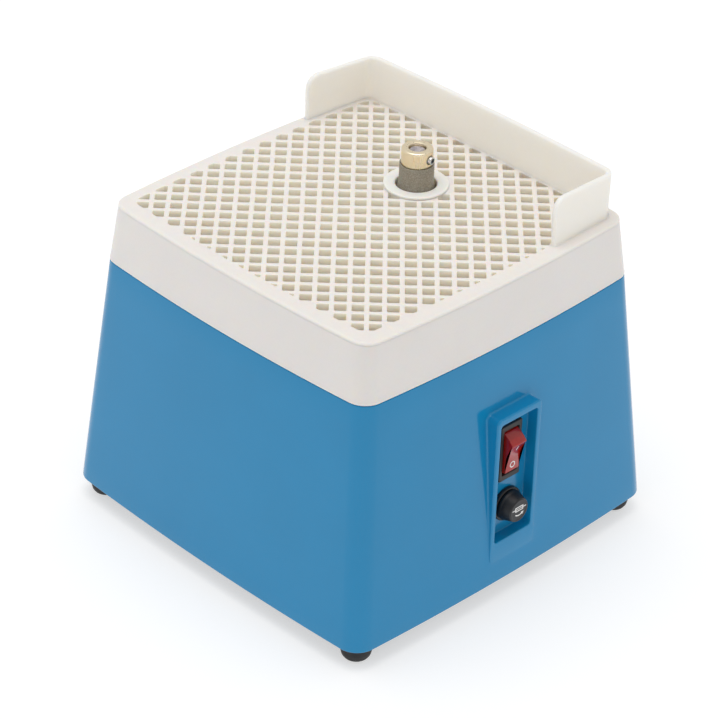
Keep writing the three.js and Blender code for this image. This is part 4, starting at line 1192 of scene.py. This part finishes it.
def make_worktop():
    sh = Shell()
    # lid: rounded edge, flange and plug
    e = 1.15
    edge = [sh.ring(ring_at(LID_HALF - e * (1 - sin(rad(a))), LID_CROWN, LID_R - e * (1 - sin(rad(a))), TOP_Z - e * (1 - cos(rad(a))))) for a in (0, 15, 30, 45, 60, 75, 90)]
    edge[0:0] = []
    rest = [sh.ring(ring_at(h, LID_CROWN, r, z)) for h, r, z in [
        (LID_HALF, LID_R, 162.03), (LID_HALF - 0.08, LID_R - 0.08, 161.95), (LID_HALF - 0.3, LID_R - 0.3, 161.92), (87.0, 6.8, 161.92), (86.6, 6.4, 161.6), (86.6, 6.4, 159.9), (86.45, 6.3, 159.62), (86.1, 6.0, PLATE_LO)]]
    sh.loft(edge + rest)
    top_h, bot_h = [], []
    for c in grid_cells():
        p = np.array(c)
        if area2(c) < 0:
            p = p[::-1]
        nn = normals2(p)
        rings = []
        for off, z in [(0.24, TOP_Z), (0.15, TOP_Z - 0.03), (0.06, TOP_Z - 0.10), (0.0, TOP_Z - 0.26), (-0.10, PLATE_LO + 0.12), (-0.02, PLATE_LO)]:
            q = p + nn * off
            rings.append((sh.ring((x, y, z) for x, y in q), q))
        # cell walls take the lighter, warmer cell white: painted light in the cells
        sh.loft([r for r, _ in rings], mat=2)
        top_h.append(rings[0]); bot_h.append(rings[-1])
    hole = circle(12.9, 96, SX, SY)
    t, b = sh.ring((x, y, TOP_Z) for x, y in hole), sh.ring((x, y, PLATE_LO) for x, y in hole)
    sh.bridge(t, b)
    sh.fill((edge[0], [sh.v[i][:2] for i in edge[0]]), top_h + [(t, hole)])
    sh.fill((rest[-1], [sh.v[i][:2] for i in rest[-1]]), bot_h + [(b, hole)])

    # guard, a closed shell of its own that is then joined to the lid
    lid, sh = sh, Shell()
    foot_line, top_line = guard_line(0), guard_line(1)
    s = foot_line[2]
    L = s[-1]
    s_top = top_line[2] * (L / top_line[2][-1])
    rf = 0.9
    zb = TOP_Z + rf

    def place(sv, t, z):
        k = max(0.0, z - TOP_Z) / (GUARD_TOP - TOP_Z)
        sc = min(max(sv, 0), L)
        q = []
        for (pts, nor, _), run in ((foot_line, s), (top_line, s_top)):
            p = np.array([np.interp(sc, run, pts[:, 0]), np.interp(sc, run, pts[:, 1])])
            n_ = np.array([np.interp(sc, run, nor[:, 0]), np.interp(sc, run, nor[:, 1])])
            q.append(p - n_ / np.linalg.norm(n_) * t)
        return q[0] * (1 - k) + q[1] * k, None

    R = 7.5
    out_l, nrm_l = [], []
    for z in np.linspace(zb, GUARD_TOP - R, 6)[:-1]:
        out_l.append((0.0, z)); nrm_l.append((-1, 0))
    for i in range(13):
        a = rad(180 - 90 * i / 12)
        out_l.append((R + R * cos(a), GUARD_TOP - R + R * sin(a))); nrm_l.append((cos(a), sin(a)))
    mid = [(sv, GUARD_TOP) for sv in s if R + 0.5 < sv < L - R - 0.5]
    path = out_l + mid + [(L - a, z) for a, z in reversed(out_l)]
    nrm = nrm_l + [(0, 1)] * len(mid) + [(-a, b_) for a, b_ in reversed(nrm_l)]
    rr_ = 1.2
    lines = []
    for side, phis in ((-1, (-90, -72, -54, -36, -18, 0)), (1, (0, 18, 36, 54, 72, 90))):
        for ph in phis:
            t = rr_ + rr_ * sin(rad(ph)) if side < 0 else GUARD_T - rr_ + rr_ * sin(rad(ph))
            inset = rr_ * (1 - cos(rad(ph)))
            line = []
            for (a, z), (na, nz) in zip(path, nrm):
                sv, zz = a - inset * na, z - inset * nz
                q, _ = place(sv, t, zz)
                line.append((q[0], q[1], zz))
            lines.append((sh.ring(line), t, inset))
    for (a, _, _), (b_, _, _) in zip(lines[:-1], lines[1:]):
        sh.bridge(a, b_, closed=False)
    # outer and inner faces, in columns from the foot to the rim line
    n_up = 5
    K = len(path)
    foot = {}
    for which, (line, t, inset) in (("out", lines[0]), ("in", lines[-1])):
        cols = [k for k in range(n_up, K - n_up)]
        svs = [path[k][0] - inset * nrm[k][0] for k in cols]
        feet = []
        for k, sv in zip(cols, svs):
            q, _ = place(sv, t, zb)
            feet.append((q[0], q[1], zb))
        feet = sh.ring(feet)
        # the first and last columns' feet are the rim lines' own lowest points
        feet[0], feet[-1] = line[0], line[-1]
        rows = [feet]
        for f in (0.25, 0.5, 0.75):
            row = []
            for k, sv, ft in zip(cols, svs, feet):
                ztop = sh.v[line[k]][2]
                zz = lerp(zb, ztop, f)
                q, _ = place(sv, t, zz)
                row.append((q[0], q[1], zz))
            rows.append(row)
        # end columns follow the rim line's vertical part
        full = [feet]
        for r_ in rows[1:]:
            full.append(sh.ring(r_))
        full.append([line[k] for k in cols])
        for ra, rb in zip(full[:-1], full[1:]):
            for i in range(1, len(ra) - 2):
                sh.face([ra[i], ra[i + 1], rb[i + 1], rb[i]])
        for end, step in ((0, 1), (len(cols) - 1, -1)):
            # strip between the vertical part of the rim and the next column
            nxt = [r_[end + step] for r_ in full]
            if end == 0:
                vert = [line[k] for k in range(0, n_up + 1)]
            else:
                vert = [line[k] for k in range(K - 1, K - n_up - 2, -1)]
            sh.face(vert + nxt[::-1])
        foot[which] = feet
    # foot ring: outer face, right-to-left end rim, inner face back, and the first end's rim
    firsts = [ln[0][0] for ln in lines]
    lasts = [ln[0][-1] for ln in lines]
    loop = list(foot["out"]) + lasts[1:-1] + list(foot["in"])[::-1] + firsts[1:-1][::-1]
    p2 = np.array([sh.v[i][:2] for i in loop])
    if area2([tuple(p) for p in p2]) < 0:
        loop, p2 = loop[::-1], p2[::-1]
    nn = normals2(p2)
    flare = [loop]
    for a in (18, 36, 54, 72, 90):
        ring = []
        for p, n_ in zip(p2, nn):
            room = max(0.0, min(rf, lid_edge(p) - e - 0.05))
            w = room * (1 - cos(rad(a)))
            ring.append((p[0] + n_[0] * w, p[1] + n_[1] * w, TOP_Z + rf * (1 - sin(rad(a))) - (0.01 if a == 90 else 0)))
        flare.append(sh.ring(ring))
    low = sh.ring((sh.v[i][0], sh.v[i][1], TOP_Z - 0.9) for i in flare[-1])
    flare.append(low)
    sh.loft(flare)
    no_, ni = len(foot["out"]), len(foot["in"])
    # close the underside
    order = {v: k for k, v in enumerate(loop)}
    fo = [low[order[i]] for i in foot["out"]]
    fi = [low[order[i]] for i in foot["in"]]
    for i in range(no_ - 1):
        sh.face([fo[i], fo[i + 1], fi[i + 1], fi[i]])
    sh.face([fo[0]] + [low[order[i]] for i in firsts[1:-1]] + [fi[0]])
    sh.face([fo[-1]] + [low[order[i]] for i in lasts[1:-1]] + [fi[-1]])
    # the whole guard takes the lighter, warmer guard white, painted light on one moulding with the lid
    sh.m[:] = [1] * len(sh.f)
    ob = build("worktop_and_guard", lid, "worktop", [lid_white, guard_painted_light_white, cell_painted_light_white], ["worktop_grid", "splash_guard"], angle=28, weld=5e-4)
    cut_with(ob, sh, 28, "UNION", 5e-4)


make_worktop()
sh = Shell()
sh.lathe(soften([(10.2, 159.6), (12.6, 159.6), (12.6, 163.5), (16, 163.5), (16, 164.7), (10.2, 164.7)], [0.3, 0.4, 0.15, 0.25, 0.75, 0.8], 6), 128, at_spindle, closed=True)
build("grid_ring_insert", sh, "worktop", ring_white, ["grid_ring"])


# ------------------------------------------------------------------ switch
def make_switch():
    sh = Shell()
    zc = SWITCH_Z
    full = lambda o: rr(-7.1 - o, 7.1 + o, zc - 15.65 - o, zc + 15.65 + o, 0.8 + o, 4, 8, 4)
    well = lambda o: rr(-5.1 - o, 5.1 + o, zc - 12.6 - o, zc + 12.6 + o, max(0.45 + o, 0.1), 4, 8, 4)
    body = lambda o: rr(-6 - o, 6 + o, zc - 13.2 - o, zc + 13.2 + o, 0.5 + o, 4, 8, 4)
    spec = [(84.0, body(-0.4)), (84.4, body(0)), (98.3, body(0)), (98.3, full(-0.05)), (98.45, full(0)), (99.2, full(0)), (99.45, full(-0.07)), (99.63, full(-0.22)), (99.7, full(-0.5)),
            (99.7, well(0.42)), (99.62, well(0.2)), (99.45, well(0.06)), (99.2, well(0)), (88.6, well(0)), (88.2, well(-0.3))]
    rings = [sh.ring((x, y, z) for y, z in p) for x, p in spec]
    sh.loft(rings)
    sh.face(rings[0])
    sh.face(rings[-1])
    build("switch_bezel", sh, "base", bezel_black, ["switch_housing"])

    # rocker: side profile, out from and up from the pivot, drawn level and then tilted to OFF
    def front(v):
        """Dished front face: out at height v, for v from -8.7 to 8.7."""
        return 6.95 + 1.55 * (abs(v) / 8.72) ** 1.7

    tilt = rad(13)
    face = [(front(v), v) for v in np.linspace(-8.55, 8.55, 33)]
    prof = [(-5, 3), (-5, -3), (-2, -12.1), (1.72, -12.1), (5.6, -10.6), (8.1, -9.05)] + face + [(8.1, 9.05), (5.6, 10.6), (1.72, 12.1), (-2, 12.1)]
    prof = [p for p in prof]
    radii = [0.5, 0.5, 0.6, 0.8, 3.0, 0.35] + [0] * 33 + [0.35, 3.0, 0.8, 0.6]
    radii[6] = radii[38] = 0.3
    p = soften(prof, radii, 4)

    def put(x, z):
        return (95 + x * cos(tilt) + z * sin(tilt), SWITCH_Z - x * sin(tilt) + z * cos(tilt))

    w = np.array([put(x, z) for x, z in p])
    if area2([tuple(q) for q in w]) < 0:
        w = w[::-1]
    nn = normals2(w)
    sh = Shell()
    loops = []
    for y, inset in [(-4.75, 0.45), (-4.72, 0.28), (-4.62, 0.13), (-4.47, 0.04), (-4.3, 0), (4.3, 0), (4.47, 0.04), (4.62, 0.13), (4.72, 0.28), (4.75, 0.45)]:
        q = w - nn * inset
        loops.append(sh.ring((x, y, z) for x, z in q))
    sh.loft(loops)
    sh.face(loops[0])
    sh.face(loops[-1])
    build("rocker_paddle", sh, "rocker", rocker_red, ["switch_rocker"], angle=35)

    # on and off marks, standing a little proud of the dished face
    sh = Shell()

    def on_face(y, v, up):
        d = (front(v + 0.01) - front(v - 0.01)) / 0.02
        ln = math.hypot(1, d)
        x, z = put(front(v) + up / ln, v - up * d / ln)
        return (x, y, z)

    def band(outer, inner_):
        n_ = len(outer)
        oo = [sh.ring(on_face(y, v, h) for y, v in q) for q, h in ((outer, -0.2), (outer, 0.035))]
        if inner_ is None:
            c = (sum(y for y, _ in outer) / n_, sum(v for _, v in outer) / n_)
            sh.bridge(oo[0], oo[1])
            for idx, h in ((oo[1], 0.035), (oo[0], -0.2)):
                mid_ = sh.ring([on_face(*c, h)])[0]
                for i in range(n_):
                    sh.face([idx[i], idx[(i + 1) % n_], mid_])
            return
        ii = [sh.ring(on_face(y, v, h) for y, v in q) for q, h in ((inner_, 0.035), (inner_, -0.2))]
        sh.loft([oo[0], oo[1], ii[0], ii[1], oo[0]])

    band([(1.75 * cos(2 * pi * i / 48), -5.35 + 1.75 * sin(2 * pi * i / 48)) for i in range(48)],
         [(1.2 * cos(2 * pi * i / 48), -5.35 + 1.2 * sin(2 * pi * i / 48)) for i in range(48)])
    band(rr(-0.3, 0.3, 3.9, 6.9, 0.12, 2, 8, 2), None)
    build("rocker_marks", sh, "rocker", mark_white)


make_switch()


# ------------------------------------------------------------------ fuse holder
def at_fuse(p):
    return (p[2], p[0], p[1] + FUSE_Z)


def make_fuse():
    sh = Shell()
    sh.lathe(soften([(0, 80), (6.1, 80), (6.1, 98.3), (9, 98.3), (9, 100.2), (4.3, 100.2), (4.3, 82), (0, 82)], [0, 0.5, 0.1, 0.15, 0.6, 0.3, 0.3, 0], 5, closed=False), 96, at_fuse)
    build("fuse_holder_flange", sh, "base", black_plastic, ["fuse_holder_body"])
    sh = Shell()
    prof = soften([(0, 107.40), (5.0, 107.40), (5.25, 107.5), (5.9, 107.5), (6.35, 106.9), (7.55, 102.6), (8.0, 101.6), (8.0, 100.5), (3.9, 100.5), (3.9, 95.6), (3.0, 95.6), (3.0, 103.6), (0, 103.6)],
                  [0, 0.05, 0.05, 0.35, 0.3, 0.8, 0.4, 0.3, 0.15, 0.2, 0.1, 0.2, 0], 5, closed=False)
    sh.lathe(prof, 120, at_fuse)
    build("fuse_cap_knob", sh, "fuse_cap", black_plastic, ["fuse_cap"])

    # marks on its face: the circuit symbol for a fuse, and a turn arrow under it
    sh = Shell()

    def slab(outer, inner_=None, x0=107.30, x1=107.46):
        n_ = len(outer)
        o = [sh.ring((x, y, z + FUSE_Z) for y, z in outer) for x in (x0, x1)]
        if inner_ is None:
            sh.bridge(o[0], o[1])
            sh.face(o[0]); sh.face(o[1])
        else:
            i_ = [sh.ring((x, y, z + FUSE_Z) for y, z in inner_) for x in (x1, x0)]
            sh.loft([o[0], o[1], i_[0], i_[1], o[0]])

    slab(rr(-2.8, 2.8, -0.15, 2.45, 0.3, 4, 4, 3), rr(-2.25, 2.25, 0.4, 1.9, 0.1, 4, 4, 3))
    slab(rr(-4.7, -2.85, 0.9, 1.4, 0.1, 3, 2, 3))
    slab(rr(2.85, 4.7, 0.9, 1.4, 0.1, 3, 2, 3))
    slab(rr(-2.2, 2.2, 0.95, 1.35, 0.08, 3, 2, 3))
    arc_o = [(3.9 * sin(rad(a)), 0.9 - 3.9 * cos(rad(a))) for a in np.linspace(-42, 30, 25)]
    arc_i = [(3.3 * sin(rad(a)), 0.9 - 3.3 * cos(rad(a))) for a in np.linspace(30, -42, 25)]
    slab(arc_o + arc_i)
    a = rad(34)
    cx, cz = 3.6 * sin(a), 0.9 - 3.6 * cos(a)
    tx, tz = cos(a), sin(a)
    slab([(cx + tx * 1.4, cz + tz * 1.4), (cx - tz * 0.95 - tx * 0.3, cz + tx * 0.95 - tz * 0.3), (cx + tz * 0.95 - tx * 0.3, cz - tx * 0.95 - tz * 0.3)])
    build("fuse_cap_marks", sh, "fuse_cap", mark_white)

    for name, node, x0, x1 in (("fuse_cap_inner_end", "fuse_end_cap_inner", 82.5, 87.9), ("fuse_cap_outer_end", "fuse_end_cap_outer", 98.0, 103.3)):
        sh = Shell()
        sh.lathe(soften([(0, x0), (2.6, x0), (2.6, x1), (0, x1)], [0, 0.5, 0.3, 0], 5, closed=False), 64, at_fuse)
        build(name, sh, "fuse_carrier", fuse_metal, [node])
    sh = Shell()
    sh.lathe([(0, 88.0), (1.9, 88.0), (2.5, 88.05), (2.5, 97.85), (1.9, 97.9), (0, 97.9)], 64, at_fuse)
    ob = build("fuse_tube", sh, "fuse_carrier", fuse_glass, ["fuse_glass_tube"])
    sh = Shell()
    n = 24
    rings = []
    for k in range(n + 1):
        x = lerp(88.6, 97.3, k / n)
        y, z = 0.35 * sin(k * 0.7), 0.35 * cos(k * 0.9) - 0.2
        rings.append(sh.ring((x, y + 0.14 * cos(2 * pi * i / 10), z + 0.14 * sin(2 * pi * i / 10) + FUSE_Z) for i in range(10)))
    sh.loft(rings)
    sh.face(rings[0]); sh.face(rings[-1])
    build("fuse_element_wire", sh, "fuse_carrier", fuse_metal)


make_fuse()

sh = Shell()
sh.lathe(soften([(3.6, -6.2), (6.9, -6.2), (6.9, -3.9), (5.7, -3.7), (5.7, 0.5), (8.2, 0.5), (7.8, 1.93), (4.2, 2.53), (3.6, 2.33)], [0.3, 0.3, 0.2, 0.2, 0.1, 0.3, 0.8, 0.5, 0.2], 5), 96, at_gland, closed=True)
build("inlet_grommet", sh, "base", foot_rubber, ["cable_inlet_grommet"])

# ------------------------------------------------------------------ CAD nodes that stay: motor and wiring inside the casing
KEEP = {
    "motor_end_bell_upper": cast_aluminium, "motor_end_bell_lower": cast_aluminium, "stator_core": lamination_steel,
    "winding_upper": varnished_copper, "winding_lower": varnished_copper, "rotor_core": lamination_steel,
    "shaft_bearing_upper": bearing_steel, "shaft_bearing_lower": bearing_steel, "cooling_fan": fan_plastic,
    "run_capacitor": capacitor_case, "capacitor_strap": zinc_steel, "rocker_pin": screw_steel,
    "switch_terminal_line": terminal_brass, "switch_terminal_load": terminal_brass, "fuse_holder_nut": zinc_steel,
    "fuse_terminal_rear": terminal_brass, "wire_live_to_fuse": wire_brown, "wire_fuse_to_switch": wire_brown,
    "wire_switch_to_motor": wire_black, "wire_neutral_to_motor": wire_blue,
}
for name, mat in KEEP.items():
    ob = NODES[name]
    if ob.material_slots:
        for slot in ob.material_slots:
            slot.material = mat
    else:
        ob.data.materials.append(mat)

# ------------------------------------------------------------------ floor, light and camera
def make_floor():
    me = bpy.data.meshes.new("floor")
    s = 6.0
    me.from_pydata([(-s, -s, 0), (s, -s, 0), (s, s, 0), (-s, s, 0)], [], [(0, 1, 2, 3)])
    ob = bpy.data.objects.new("floor", me)
    bpy.context.scene.collection.objects.link(ob)
    m = Mat("floor_pale", (0.55, 0.55, 0.55), 0.7)
    m.colour(m.ramp(m.noise(3, 3), [(0.3, (0.545, 0.545, 0.545)), (0.7, (0.555, 0.555, 0.555))]))
    m.b.inputs["Specular IOR Level"].default_value = 0.2
    m.b.inputs["Emission Color"].default_value = (1, 1, 1, 1)
    m.b.inputs["Emission Strength"].default_value = 0.54
    me.materials.append(m.m)
    ob.location.z = -0.0002


make_floor()
world = bpy.data.worlds.new("studio")
bpy.context.scene.world = world
world.use_nodes = True
world.node_tree.nodes["Background"].inputs[0].default_value = (1, 1, 1, 1)
world.node_tree.nodes["Background"].inputs[1].default_value = 0.66


def area_light(name, loc, target, size, power, colour=(1, 1, 1)):
    d = bpy.data.lights.new(name, "AREA")
    d.shape, d.size, d.energy, d.color = "DISK", size, power, colour
    o = bpy.data.objects.new(name, d)
    o.location = loc
    o.rotation_mode = "QUATERNION"
    o.rotation_quaternion = (Vector(target) - Vector(loc)).to_track_quat("-Z", "Y")
    bpy.context.scene.collection.objects.link(o)


area_light("overhead", (-0.15, -0.1, 1.9), (0, 0, 0.1), 1.6, 13.0)

scene = bpy.context.scene
scene.view_settings.view_transform = "Standard"
scene.view_settings.look = "None"
scene.view_settings.exposure = 0.0
scene.view_settings.gamma = 1.0

AZ, EL, ROLL, F_PX, DIST = rad(44.742), rad(32.682), rad(1.855), 2899.19, 1.2722
TARGET = Vector((0.09242, -0.09612, 0.1682))
back_v = Vector((sin(AZ) * cos(EL), -cos(AZ) * cos(EL), sin(EL)))
right = Vector((cos(AZ), sin(AZ), 0))
up = back_v.cross(right)
r_v, u_v = right * cos(ROLL) + up * sin(ROLL), -right * sin(ROLL) + up * cos(ROLL)
cam_data = bpy.data.cameras.new("camera")
cam_data.sensor_width, cam_data.lens = 36.0, F_PX * 36 / 720
cam_data.clip_start, cam_data.clip_end = 0.05, 30
cam = bpy.data.objects.new("camera", cam_data)
cam.matrix_world = Matrix.Translation(TARGET + back_v * DIST) @ Matrix((r_v, u_v, back_v)).transposed().to_4x4()
scene.collection.objects.link(cam)
scene.camera = cam

bpy.context.view_layer.update()
